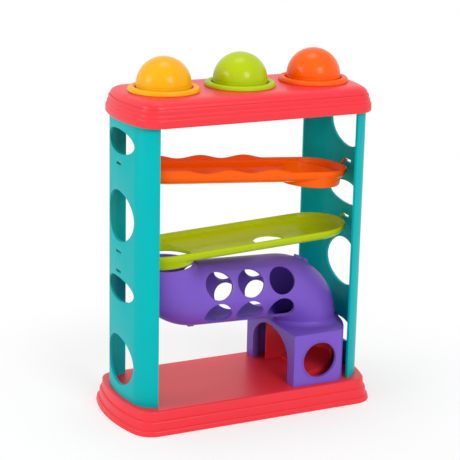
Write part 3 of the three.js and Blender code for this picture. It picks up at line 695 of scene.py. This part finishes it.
def bowl(inset, z, floor_inset, floor_z):
    """A hollow curve from a lip down to a floor: steep at first and level at the end."""
    points = []
    for i in range(BOWL_STEPS + 1):
        t = i / BOWL_STEPS
        across, down = t ** BOWL_REACH, 1 - (1 - t) ** BOWL_FALL
        points.append((inset + (floor_inset - inset) * across, z + (floor_z - z) * down))
    return points


def ladder(profile, looks=1):
    """Steps between the points of an (inset, z) profile; looks is -1 for a face that looks down."""
    return [(looks * (z1 - z0), inset1 - inset0) for (inset0, z0), (inset1, z1) in zip(profile, profile[1:])]


def cone(name, x, profile):
    """A solid turned from (radius, z) points; its ends are closed with flat faces."""
    piece = spin_round(draw(name, [(x + r, 0, z) for r, z in profile]), x, TURNS)
    fill_open_edges(piece)
    tidy_normals(piece)
    return piece


print("ramp outline points:", len(stadium(UPPER_HALF_WIDTH, 0)))

# %% Dish and cup
LIP_ROUND = [(0, -0.9), (0.15, -0.4), (0.5, -0.1), (1.0, 0), (1.5, -0.1), (1.9, -0.4), (2.1, -0.9)]
RAMP_SKIN, TROUGH_INSET, BELLY_INSET, FLOOR_INSET = 1.9, 2.3, 0.9, 22
LIP_FOOT_IN, LIP_FOOT_UP, LIP_FOOT_ROUND = 0.02, 0.3, 0.2
ROOM_INSET, ROOM_FLOOR_INSET, ROOM_LIFT, ROOM_RISE = 2.4, 22.1, 0.03, 8
HAIR = 0.02
CUP_X = 74
SKIRT_INSET, SKIRT_RISE, CUP_SIDE, CUP_FOOT, CUP_BREAK = 1.3, 1, 28.9, 28.3, 0.6
RIM_INSET, RIM_RISE, RIM_IN, RIM_DOWN = 2.35, 6, 0.45, 1.3
DROP_SIDE, DROP_EDGE, DROP_FOOT = (26.7, 1), (26.8, 0.5), (27.4, -0.1)
DROP_BEYOND = 3


def trough_room(half_width, depth, lip):
    """The room over a trough's floor, a hair clear of it."""
    top = ROOM_LIFT - lip / 2
    room = draw("room", stadium(half_width, top, ROOM_INSET), closed=True)
    fill_up(room)
    terrace([(ROOM_RISE, HAIR)])
    close_below(room)
    terrace(ladder(bowl(ROOM_INSET, top, ROOM_FLOOR_INSET, RAMP_SKIN - depth + ROOM_LIFT), looks=-1))
    tidy_normals(room)
    return room


def cup_solid(half_width, lip, cup_depth):
    skirt = half_width - SKIRT_INSET
    return cone("cup", CUP_X, [(skirt, SKIRT_RISE - lip), (skirt, -lip), (CUP_SIDE, CUP_BREAK - cup_depth),
                               (CUP_FOOT, -cup_depth)])


def cup_drop(half_width, lip, cup_depth):
    """The way that a ball falls through the cup; its edge below is rounded outwards."""
    rim = half_width - RIM_INSET
    way = [(rim, RIM_RISE), (rim, -lip / 2), (rim - RIM_IN, -lip / 2 - RIM_DOWN)]
    way += [(radius, rise - cup_depth) for radius, rise in (DROP_SIDE, DROP_EDGE, DROP_FOOT)]
    return cone("drop", CUP_X, way + [(DROP_FOOT[0], -cup_depth - DROP_BEYOND)])


def dish(name, half_width, depth, lip, cup_depth):
    ramp = draw(name, stadium(half_width, LIP_ROUND[0][1]), closed=True)
    fill_up(ramp)
    terrace(ladder(LIP_ROUND + bowl(TROUGH_INSET, -lip / 2, FLOOR_INSET, RAMP_SKIN - depth)))
    close_below(ramp)
    foot = [LIP_ROUND[0], (LIP_FOOT_IN, LIP_FOOT_UP - lip), (LIP_FOOT_ROUND, -lip)]
    terrace(ladder(foot + bowl(BELLY_INSET, -lip, FLOOR_INSET, -depth), looks=-1))
    tidy_normals(ramp)
    boolean(ramp, [cup_solid(half_width, lip, cup_depth)], "UNION")
    boolean(ramp, [trough_room(half_width, depth, lip)])
    boolean(ramp, [cup_drop(half_width, lip, cup_depth)])
    return ramp


UPPER_LIP, LOWER_LIP = 4.4, 3.4
upper_ramp = dish("wavy_upper_ramp", UPPER_HALF_WIDTH, depth=13, lip=UPPER_LIP, cup_depth=16)
lower_ramp = dish("lower_dish_ramp", LOWER_HALF_WIDTH, depth=12.5, lip=LOWER_LIP, cup_depth=13.8)
print("dishes:", [(ramp.name, len(ramp.data.polygons)) for ramp in (upper_ramp, lower_ramp)])

# %% Waves, tabs and tilt
WAVE_HEIGHT, WAVE_LENGTH, WAVE_START, WAVE_END, WAVE_FADE = 3, 44, 42, -68, 3
TAB_NEAR, TAB_FAR, TAB_THICK, TAB_EDGE = 0.5, 5, 0.8, 0.2
TAB_ROOT, TAB_FACE, TAB_BEND, TAB_END = 107.4, 109, 112.4, 114.4
NECK_NEAR, NECK_FAR, NECK_LOW, NECK_HIGH = 2.2, 3.8, -2.8, -1.2
NECK_HALF, NECK_SHORT, NECK_BACK = 0.4, 0.2, 0.6
PEEP_X, PEEP_RADIUS, PEEP_DEPTH = 33, 15, 20


def wave(x):
    along = WAVE_START - max(min(x, WAVE_START), WAVE_END)
    return WAVE_HEIGHT * 0.5 * (1 - math.cos(2 * math.pi * along / WAVE_LENGTH))


def raise_waves(ramp, lip):
    """Lifts the lip by the wave; the lift fades out towards the lip's foot."""
    for v in ramp.data.vertices:
        share = min(max((v.co.z / MM + lip) / WAVE_FADE, 0), 1)
        v.co.z += wave(v.co.x / MM) * share * MM


def add_tabs(ramp, rise, back):
    """A tongue for each wall on a thin neck bent up from the lip; it lies in the back half of its slot."""
    low, high = rise - TAB_THICK, rise + TAB_THICK
    side = [(TAB_ROOT, NECK_LOW), (TAB_FACE, NECK_LOW), (TAB_BEND + NECK_HALF, low),
            (TAB_BEND + NECK_HALF, high - NECK_SHORT), (TAB_BEND - NECK_HALF, high - NECK_SHORT),
            (TAB_FACE - NECK_BACK, NECK_HIGH), (TAB_ROOT, NECK_HIGH)]
    for end in (1, -1):
        neck = flat_plug("neck", [(end * x, back * NECK_NEAR, z) for x, z in side],
                         (0, back * (NECK_FAR - NECK_NEAR), 0))
        tongue = block(*sorted((end * TAB_BEND, end * TAB_END)),
                       *sorted((back * TAB_NEAR, back * TAB_FAR)), low, high)
        for part in (neck, tongue):
            soften(part, TAB_EDGE)
            join_to(ramp, part)


def tilt(piece, ramp, turn=0):
    place = Matrix.Translation((0, 0, RAMP_MIDDLES[ramp] * MM)) @ Matrix.Rotation(RAMP_SLOPES[ramp], 4, "Y")
    lay(piece, place @ Matrix.Rotation(turn, 4, "Z"))


raise_waves(upper_ramp, UPPER_LIP)
add_tabs(upper_ramp, TAB_RISES["upper"], 1)
tilt(upper_ramp, "upper")
hand_over(upper_ramp, orange_ramp, "orange_ramp", "tower", "upper_ramp")

boolean(lower_ramp, [round_plug(-PEEP_X, 0, PEEP_RADIUS, -PEEP_DEPTH, 0)])
add_tabs(lower_ramp, TAB_RISES["lower"], -1)
tilt(lower_ramp, "lower", math.pi)
hand_over(lower_ramp, lime_ramp, "lime_ramp", "tower", "lower_ramp")

# %% [markdown]
# ## Tube
# The tube is drawn by sweeping a circle along its way: down a little, round the first bend, along the sloping
# run and round the second bend down into the block. Extrude makes the straight runs and Spin the bends. The
# same sweep, a wall thinner, cuts the bore. Round windows are punched out square to the wall, and the middle
# plane parts the tube into its two shells, which meet at small clips.

# %% Sweep the tube
TUBE_RADIUS, TUBE_WALL, TUBE_SLOPE = 29.8, 2.5, math.radians(2)
INLET_X, INLET_TOP, INLET_STRAIGHT, INLET_BEND = -74, 140.23, 0.5, 31
OUTLET_X, OUTLET_BOTTOM, OUTLET_BEND = 73.5, 67.2, 36
TUBE_TURNS, BEND_STEPS = 128, 26
bend_turn = math.pi / 2 - TUBE_SLOPE
run_lean = Vector((math.sin(TUBE_SLOPE), 0, math.cos(TUBE_SLOPE)))
inlet_centre = Vector((INLET_X + INLET_BEND, 0, INLET_TOP - INLET_STRAIGHT))
run_start = inlet_centre - INLET_BEND * run_lean


def run_height(x):
    return run_start.z - (x - run_start.x) * math.tan(TUBE_SLOPE)


run_end_x = OUTLET_X - OUTLET_BEND + OUTLET_BEND * run_lean.x
run_end = Vector((run_end_x, 0, run_height(run_end_x)))
outlet_centre = run_end - OUTLET_BEND * run_lean


def swept_tube(name, radius, beyond=0):
    """A solid swept along the tube's way, longer by beyond at both ends."""
    tube = start(name, bpy.ops.mesh.primitive_circle_add, vertices=TUBE_TURNS, radius=radius * MM,
                 location=Vector((INLET_X, 0, INLET_TOP + beyond)) * MM)
    edit(tube, "EDGE")

    def extrude(way):
        bpy.ops.mesh.extrude_edges_move(TRANSFORM_OT_translate={"value": way * MM})

    def bend(centre, angle):
        bpy.ops.mesh.spin(steps=BEND_STEPS, angle=angle, center=centre * MM, axis=(0, 1, 0))

    extrude(Vector((0, 0, -INLET_STRAIGHT - beyond)))
    bend(inlet_centre, bend_turn)
    extrude(run_end - run_start)
    bend(outlet_centre, -bend_turn)
    extrude(Vector((0, 0, OUTLET_BOTTOM - beyond - outlet_centre.z)))
    fill_open_edges(tube)
    tidy_normals(tube)
    return tube


tube = swept_tube("roll_tube", TUBE_RADIUS)
reach = [[v.co[i] / MM for v in tube.data.vertices] for i in range(3)]
print("tube from", [round(min(r), 1) for r in reach], "to", [round(max(r), 1) for r in reach])

# %% Windows, clips and shells
WINDOW_RADIUS, WINDOW_PITCH, WINDOW_MIDDLE, WINDOW_SIDES = 13.25, 32, 3, 72
WINDOW_TILTS = (math.radians(27), math.radians(-33))
CLIP_THICK, CLIP_HEIGHT, CLIP_EDGE = 1.6, 2.4, 0.5
CLIPS = [(inlet_centre, INLET_BEND, 268, 6), (outlet_centre, OUTLET_BEND, 66.5, 7),
         (outlet_centre, OUTLET_BEND, 58.8, 5.5)]
SEAM_HALF, SHELL_EDGE, TUBE_TAB_EDGE, BORE_BEYOND = 0.05, 0.35, 0.3, 5
HALF_ROOM_X, HALF_ROOM_Z = 150, 250


def window_punch(x, angle, side):
    """A punch square to the tube's wall, on the front or the back."""
    way = Vector((0, side * math.cos(angle), math.sin(angle)))
    return start("punch", bpy.ops.mesh.primitive_cylinder_add, vertices=WINDOW_SIDES,
                 radius=WINDOW_RADIUS * MM, depth=TUBE_RADIUS * MM,
                 location=(Vector((x, 0, run_height(x))) + way * TUBE_RADIUS) * MM,
                 rotation=(-side * (math.pi / 2 - angle), 0, 0))


def seam_clip(centre, bend, degrees, length, up):
    """A lug across the seam at an angle of a bend, on its outer or inner side."""
    reach = bend + up * TUBE_RADIUS
    half = SEAM_HALF + CLIP_THICK
    lug = block(-length / 2, length / 2, -half, half, reach - CLIP_HEIGHT, reach + CLIP_HEIGHT)
    soften(lug, CLIP_EDGE)
    return lay(lug, Matrix.Translation(centre * MM) @ Matrix.Rotation(math.radians(90 - degrees), 4, "Y"))


def half_shell(name, side):
    shell = copy_of(tube, name)
    y0, y1 = sorted((side * SEAM_HALF, side * 2 * TUBE_RADIUS))
    boolean(shell, [block(-HALF_ROOM_X, HALF_ROOM_X, y0, y1, 0, HALF_ROOM_Z)], "INTERSECT")
    weld(shell, CUT_WELD)
    soften(shell, SHELL_EDGE, angle=SHARPER)
    return shell


clips = [seam_clip(*place, up) for up in (1, -1) for place in CLIPS]
tube_tab = block(-TAB_END, INLET_X - TUBE_RADIUS + TUBE_WALL / 2, -TAB_FAR, TAB_FAR,
                 TUBE_TAB_Z - TAB_THICK, TUBE_TAB_Z + TAB_THICK)
soften(tube_tab, TUBE_TAB_EDGE)
boolean(tube, clips + [tube_tab], "UNION")
boolean(tube, [swept_tube("bore", TUBE_RADIUS - TUBE_WALL, BORE_BEYOND)])
boolean(tube, [window_punch(WINDOW_MIDDLE + k * WINDOW_PITCH, angle, side)
               for k in (-1, 0, 1) for angle in WINDOW_TILTS for side in (-1, 1)])
for half, side in (("front", -1), ("back", 1)):
    shell = half_shell(f"tube_shell_{half}", side)
    hand_over(shell, purple_tube, "purple_tube", "tower", f"tube_{half}_shell")
bpy.data.objects.remove(tube)

# %% [markdown]
# ## Exit block
# The block's plan is square at the arch and bowed at the wall. The outline is raised, its top edge is rounded
# by small insets, and the hollow is sunk from below. The arch, the window and the hole for the tube are cut,
# and a turned collar with a hollow curve joins the block to the tube's foot. A bevel can fold a face with a
# notch in it, so the cut faces are split into triangles before their edges are rounded. The bead round the
# window just touches the hole's wall, where a union would be unsure, so it is joined last and sinks in.

# %% Block
BLOCK_LEFT, BLOCK_HALF, BLOCK_END = 38, 49, (105.5, 49, 75, 12)
BLOCK_BOTTOM, BLOCK_TOP, BLOCK_WALL = 21.5, 71.2, 2.6
SHOULDER_RISE, BLOCK_SHOULDER = 1.2, [(0.55, 0.1), (0.35, 0.25), (0.2, 0.35), (0.1, 0.5)]
POST_X, POST_Y, POST_RADIUS, POST_SIDES = 43.8, 43.2, 4, 32


def arc(x, y, radius, start_degrees, end_degrees, steps):
    sweep = end_degrees - start_degrees
    angles = [math.radians(start_degrees + sweep * i / steps) for i in range(steps + 1)]
    return [(x + radius * math.cos(a), y + radius * math.sin(a)) for a in angles]


def block_plan(inset, z):
    quarter = plan_quarter(*inset_plan(BLOCK_END, inset))
    right = [(x, -y) for x, y in reversed(quarter[1:])] + quarter
    left = [(BLOCK_LEFT + inset, side * (BLOCK_HALF - inset)) for side in (1, -1)]
    return [(x, y, z) for x, y in right + left]


def pair_of_plugs(radius, z0, z1, sides):
    """Upright plugs at the two screw posts."""
    return [round_plug(POST_X, side * POST_Y, radius, z0, z1, sides) for side in (1, -1)]


exit_block = draw("arched_exit_block", block_plan(0, BLOCK_BOTTOM), closed=True)
fill_up(exit_block)
terrace([(BLOCK_TOP - BLOCK_BOTTOM - SHOULDER_RISE, HAIR)] + BLOCK_SHOULDER)
close_below(exit_block)
terrace([(0, BLOCK_WALL), (-(BLOCK_TOP - BLOCK_BOTTOM - BLOCK_WALL), HAIR)])
tidy_normals(exit_block)
boolean(exit_block, pair_of_plugs(POST_RADIUS, BLOCK_BOTTOM, BLOCK_TOP - BLOCK_WALL / 2, POST_SIDES), "UNION")
print("block faces before its openings:", len(exit_block.data.polygons))

# %% Arch and window
ARCH_HALF, ARCH_SPRING, ARCH_CROWN, ARCH_STEPS = 36, 42, 66.6, 48
PANE_X, PANE_Z, PANE_RADIUS, PANE_STEPS = 64.5, 45, 16.8, 72
BEAD, BEAD_STEPS = 0.75, 12
CLEAR, ARCH_BEYOND = 1, 5
BLOCK_EDGE, BLOCK_EDGE_STEPS, BLOCK_WELD = 0.7, 3, 0.1

arch = [(-ARCH_HALF, BLOCK_BOTTOM - CLEAR), (ARCH_HALF, BLOCK_BOTTOM - CLEAR)]
arch += [(ARCH_HALF * c, ARCH_SPRING + (ARCH_CROWN - ARCH_SPRING) * s)
         for c, s in arc(0, 0, 1, 0, 180, ARCH_STEPS)]
boolean(exit_block, [flat_plug("arch", [(BLOCK_LEFT - CLEAR, y, z) for y, z in arch],
                               (BLOCK_WALL + ARCH_BEYOND, 0, 0))])
pane = arc(PANE_X, PANE_Z, PANE_RADIUS, 0, 360, PANE_STEPS)[:-1]
boolean(exit_block, [flat_plug("pane", [(x, -BLOCK_HALF - CLEAR, z) for x, z in pane],
                               (0, BLOCK_HALF / 2, 0))])
weld(exit_block, BLOCK_WELD)
bpy.ops.mesh.quads_convert_to_tris(quad_method="BEAUTY", ngon_method="BEAUTY")
soften(exit_block, BLOCK_EDGE, BLOCK_EDGE_STEPS, angle=SHARPER)
bead = turned("pane bead", arc(PANE_RADIUS + BEAD, 0, BEAD, 0, 360, BEAD_STEPS)[:-1])
pane_middle = Vector((PANE_X, -BLOCK_HALF, PANE_Z)) * MM
lay(bead, Matrix.Translation(pane_middle) @ Matrix.Rotation(math.pi / 2, 4, "X"))
print("block faces:", len(exit_block.data.polygons), "bead faces:", len(bead.data.polygons))

# %% Collar and bores
FOOT_RADIUS = TUBE_RADIUS + 0.3
COLLAR_RISE, COLLAR_REACH, COLLAR_DEGREES, COLLAR_ARC_STEPS = 5, 5.5, 84, 12
COLLAR_IN, COLLAR_LIFT = 0.8, 0.05
COLLAR_MARGIN, COLLAR_ROOM_LOW, COLLAR_ROOM_RISE = 1.3, 5, 20
FOOT_CUT, FOOT_SIDES = 10, 128
PILOT_RADIUS, PILOT_TOP = 1.6, 28.8

collar = [(FOOT_RADIUS - COLLAR_IN, BLOCK_TOP - CLEAR), (FOOT_RADIUS + COLLAR_REACH, BLOCK_TOP - CLEAR)]
collar += [(FOOT_RADIUS + COLLAR_REACH * (1 - s), BLOCK_TOP + COLLAR_LIFT + COLLAR_RISE * (1 - c))
           for c, s in arc(0, 0, 1, 0, COLLAR_DEGREES, COLLAR_ARC_STEPS)]
collar += [(FOOT_RADIUS - COLLAR_IN, BLOCK_TOP + COLLAR_RISE)]
foot = turned("collar", collar, OUTLET_X)
collar_room = flat_plug("collar room", block_plan(COLLAR_MARGIN, BLOCK_TOP - COLLAR_ROOM_LOW),
                        (0, 0, COLLAR_ROOM_RISE))
boolean(foot, [collar_room], "INTERSECT")
boolean(exit_block, [foot], "UNION")
boolean(exit_block, [round_plug(OUTLET_X, 0, FOOT_RADIUS, BLOCK_TOP - FOOT_CUT, BLOCK_TOP + FOOT_CUT,
                                FOOT_SIDES)])
boolean(exit_block, pair_of_plugs(PILOT_RADIUS, BLOCK_BOTTOM - CLEAR, PILOT_TOP, SCREW_SIDES))
join_to(exit_block, bead)
hand_over(exit_block, purple_tube, "purple_tube", "tower", "exit_block")

# %% [markdown]
# ## Scoop
# Inside the block a red scoop catches the falling ball and turns it out through the arch. Its wall is a hook
# in plan: it starts in front, goes round behind the ball and runs on straight to the arch. Its floor slopes
# to the mouth.

# %% Scoop
SCOOP_RADIUS, SCOOP_WALL, SCOOP_TOP, SCOOP_EDGE = 26.5, 2.2, 65, 0.6
SCOOP_MOUTH, FLOOR_AT_MOUTH, FLOOR_RISE, FLOOR_STEPS = 62.9, 3, 9, 40
GUIDE_END, FRONT_END, HOOK_STEPS = OUTLET_X - 26, -25, 32
FLOOR_CUT = 5
SCOOP_SCREW_X = OUTLET_X + SCOOP_RADIUS / 2


def floor_plan(radius):
    return [(SCOOP_MOUTH, -radius)] + arc(OUTLET_X, 0, radius, -90, 90, FLOOR_STEPS) + [(SCOOP_MOUTH, radius)]


def hook(radius):
    return arc(OUTLET_X, 0, radius, FRONT_END, 90, HOOK_STEPS) + [(GUIDE_END, radius)]


hook_line = hook(SCOOP_RADIUS + SCOOP_WALL) + hook(SCOOP_RADIUS)[::-1]
scoop = flat_plug("ball_turning_scoop", [(x, y, BLOCK_BOTTOM) for x, y in hook_line],
                  (0, 0, SCOOP_TOP - BLOCK_BOTTOM))
floor_end = OUTLET_X + SCOOP_RADIUS + SCOOP_WALL
wedge = [(SCOOP_MOUTH, BLOCK_BOTTOM), (floor_end, BLOCK_BOTTOM),
         (floor_end, BLOCK_BOTTOM + FLOOR_AT_MOUTH + FLOOR_RISE),
         (SCOOP_MOUTH, BLOCK_BOTTOM + FLOOR_AT_MOUTH)]
floor_wedge = flat_plug("floor wedge", [(x, -SCOOP_RADIUS - SCOOP_WALL / 2, z) for x, z in wedge],
                        (0, 2 * SCOOP_RADIUS + SCOOP_WALL, 0))
floor_outline = [(x, y, BLOCK_BOTTOM - FLOOR_CUT) for x, y in floor_plan(SCOOP_RADIUS + SCOOP_WALL / 2)]
boolean(floor_wedge, [flat_plug("floor plan", floor_outline, (0, 0, SCOOP_TOP))], "INTERSECT")
boolean(scoop, [floor_wedge], "UNION")
boolean(scoop, [round_plug(SCOOP_SCREW_X, 0, PILOT_RADIUS, BLOCK_BOTTOM - CLEAR, PILOT_TOP, SCREW_SIDES)])
weld(scoop, BLOCK_WELD)
soften(scoop, SCOOP_EDGE, angle=SHARPER)
hand_over(scoop, red_shell, "red_shell", "tower", "ball_scoop")

# %% [markdown]
# ## Screws
# One pan-head screw is turned, and its head gets a cross recess. Seven copies, each with a mesh of its own,
# hold the roof, the block and the scoop from below.

# %% One screw
SHANK, HEAD, HEAD_HEIGHT, SCREW_LENGTH, SCREW_TURNS = 1.5, 3, 1.8, 10, 32
CROWN_IN, CROWN_RISE, CROWN_STEPS = 0.9, 1.1, 6
TIP_SHARE, TIP_RISE, AXIS = 0.35, 0.4, 0.001
RECESS_LONG, RECESS_WIDE, RECESS_DEEP, RECESS_CLEAR = 1.7, 0.4, 1.0, 1
STEEL, STEEL_ROUGHNESS = "b8b8ba", 0.32

steel = bpy.data.materials.new("screw steel")
steel.use_nodes = True
metal = steel.node_tree.nodes["Principled BSDF"]
metal.inputs["Base Color"].default_value = linear(STEEL)
metal.inputs["Metallic"].default_value = 1
metal.inputs["Roughness"].default_value = STEEL_ROUGHNESS
screw_profile = [(AXIS, SCREW_LENGTH), (SHANK * TIP_SHARE, SCREW_LENGTH - TIP_RISE),
                 (SHANK, SCREW_LENGTH - SHANK), (SHANK, 0), (HEAD, 0)]
screw_profile += [(HEAD - CROWN_IN * (1 - c), -HEAD_HEIGHT + CROWN_RISE - CROWN_RISE * s)
                  for c, s in arc(0, 0, 1, 0, 90, CROWN_STEPS)]
screw_profile += [(AXIS, -HEAD_HEIGHT)]
screw = turned("pan_head_screw", screw_profile, steps=SCREW_TURNS)
for wide, long in ((RECESS_WIDE, RECESS_LONG), (RECESS_LONG, RECESS_WIDE)):
    boolean(screw, [block(-wide, wide, -long, long, -HEAD_HEIGHT - RECESS_CLEAR, -HEAD_HEIGHT + RECESS_DEEP)])
print("screw faces:", len(screw.data.polygons))

# %% Seven screws
FRAME_SEAT, BASE_SEAT = 279.2, 18.5
screw_places = {f"roof_screw_{i + 1}": (x, y, FRAME_SEAT) for i, (x, y) in enumerate(ROOF_SCREWS)}
for i, side in enumerate((1, -1)):
    screw_places[f"block_screw_{i + 1}"] = (POST_X, side * POST_Y, BASE_SEAT)
screw_places["scoop_screw"] = (SCOOP_SCREW_X, 0, BASE_SEAT)
for node, place in screw_places.items():
    placed = lay(copy_of(screw, f"pan_head_{node}"), Matrix.Translation(Vector(place) * MM))
    hand_over(placed, steel, "screw_steel", "tower", node)
bpy.data.objects.remove(screw)

# %% [markdown]
# ## Stage
# The toy stands on a white floor in even light. A lamp in front gives the shape, one at the left lights the
# outside of the left wall and one above the roof. The world fills the rest. What the camera and the gloss see
# of it is plain white. The floor goes over to the same white with the distance from the toy, and half of it
# is mixed in already beside the toy, so only a soft shadow marks it.

# %% Floor
FLOOR_SIZE, FLOOR_GREY, FLOOR_ROUGHNESS, FLOOR_SPECULAR = 14, 0.95, 0.9, 0.1
SHADOW_REACH, WHITE_REACH, SHADOW_SHARE = 0.14, 0.34, 0.5

floor = start("floor", bpy.ops.mesh.primitive_plane_add, size=FLOOR_SIZE)
pale = bpy.data.materials.new("white floor")
pale.use_nodes = True
tree = pale.node_tree
matt = tree.nodes["Principled BSDF"]
matt.inputs["Base Color"].default_value = (FLOOR_GREY, FLOOR_GREY, FLOOR_GREY, 1)
matt.inputs["Roughness"].default_value = FLOOR_ROUGHNESS
matt.inputs["Specular IOR Level"].default_value = FLOOR_SPECULAR
far = tree.nodes.new("ShaderNodeVectorMath")
far.operation = "LENGTH"
tree.links.new(tree.nodes.new("ShaderNodeTexCoord").outputs["Object"], far.inputs[0])
fade = tree.nodes.new("ShaderNodeMapRange")
fade.interpolation_type = "SMOOTHSTEP"
for label, source in (("Value", far.outputs["Value"]), ("From Min", SHADOW_REACH), ("From Max", WHITE_REACH),
                      ("To Min", SHADOW_SHARE)):
    feed(tree, fade.inputs[label], source)
camera_ray = tree.nodes.new("ShaderNodeLightPath").outputs["Is Camera Ray"]
blend = tree.nodes.new("ShaderNodeMixShader")
tree.links.new(reckon(tree, "MULTIPLY", fade.outputs["Result"], camera_ray), blend.inputs[0])
tree.links.new(matt.outputs[0], blend.inputs[1])
tree.links.new(tree.nodes.new("ShaderNodeEmission").outputs[0], blend.inputs[2])
tree.links.new(blend.outputs[0], tree.nodes["Material Output"].inputs["Surface"])
floor.data.materials.append(pale)
print("floor:", FLOOR_SIZE, "m, white from", WHITE_REACH, "m on")

# %% World
FILL = 0.62
world = bpy.data.worlds.new("white studio")
bpy.context.scene.world = world
world.use_nodes = True
tree = world.node_tree
sky = tree.nodes["Background"]
sky.inputs["Color"].default_value = (1, 1, 1, 1)
path = tree.nodes.new("ShaderNodeLightPath")
white = path.outputs["Is Camera Ray"]
for ray in ("Is Glossy Ray", "Is Transmission Ray"):
    white = reckon(tree, "MAXIMUM", white, path.outputs[ray])
tree.links.new(ranged(tree, white, FILL, 1), sky.inputs["Strength"])
print("world:", world.name)


# %% Lamps
def lamp(name, place, size, power):
    data = bpy.data.lights.new(name, "AREA")
    data.shape = "RECTANGLE"
    data.size, data.size_y = size
    data.energy = power
    lamp_object = bpy.data.objects.new(name, data)
    bpy.context.scene.collection.objects.link(lamp_object)
    lamp_object.location = place
    lamp_object.rotation_euler = (LAMP_AIM - Vector(place)).to_track_quat("-Z", "Y").to_euler()


LAMP_AIM = Vector((0, 0, 0.16))
lamp("front softbox", place=(0.2, -2.3, 1.4), size=(0.9, 0.9), power=23)
lamp("left softbox", place=(-2.2, 0.1, 1.0), size=(0.9, 0.9), power=15)
lamp("top softbox", place=(0, 0.2, 2.2), size=(1.0, 0.8), power=8)
print("lamps:", len(bpy.data.lights))

# %% [markdown]
# ## Camera
# The camera stands where the photographer stood: a little to the left, above the roof and far away, with a
# long lens. Its place is worked out from two angles, a distance and the point that it looks at.

# %% Camera
CAMERA_AZIMUTH, CAMERA_ELEVATION, CAMERA_ROLL = math.radians(25.95), math.radians(15.88), math.radians(1.26)
CAMERA_AIM, CAMERA_DISTANCE = Vector((-6.75, 0, 164.24)), 1451.1
FOCAL_PIXELS, FRAME_PIXELS, SENSOR_WIDTH = 1589.5, 460, 36
NEAR_CLIP, FAR_CLIP = 0.05, 50
ahead = Vector((math.sin(CAMERA_AZIMUTH) * math.cos(CAMERA_ELEVATION),
                math.cos(CAMERA_AZIMUTH) * math.cos(CAMERA_ELEVATION), -math.sin(CAMERA_ELEVATION)))
level = Vector((math.cos(CAMERA_AZIMUTH), -math.sin(CAMERA_AZIMUTH), 0))
upward = level.cross(ahead)
right = math.cos(CAMERA_ROLL) * level + math.sin(CAMERA_ROLL) * upward
above = -math.sin(CAMERA_ROLL) * level + math.cos(CAMERA_ROLL) * upward
lens = bpy.data.cameras.new("camera")
lens.sensor_width = SENSOR_WIDTH
lens.lens = lens.sensor_width * FOCAL_PIXELS / FRAME_PIXELS
lens.clip_start, lens.clip_end = NEAR_CLIP, FAR_CLIP
camera = bpy.data.objects.new("camera", lens)
bpy.context.scene.collection.objects.link(camera)
camera.location = (CAMERA_AIM - ahead * CAMERA_DISTANCE) * MM
camera.rotation_euler = Matrix((right, above, -ahead)).transposed().to_euler()
bpy.context.scene.camera = camera
bpy.context.scene.view_settings.view_transform = "Standard"
print("camera at", [round(v, 3) for v in camera.location], "lens", round(lens.lens, 1), "mm")
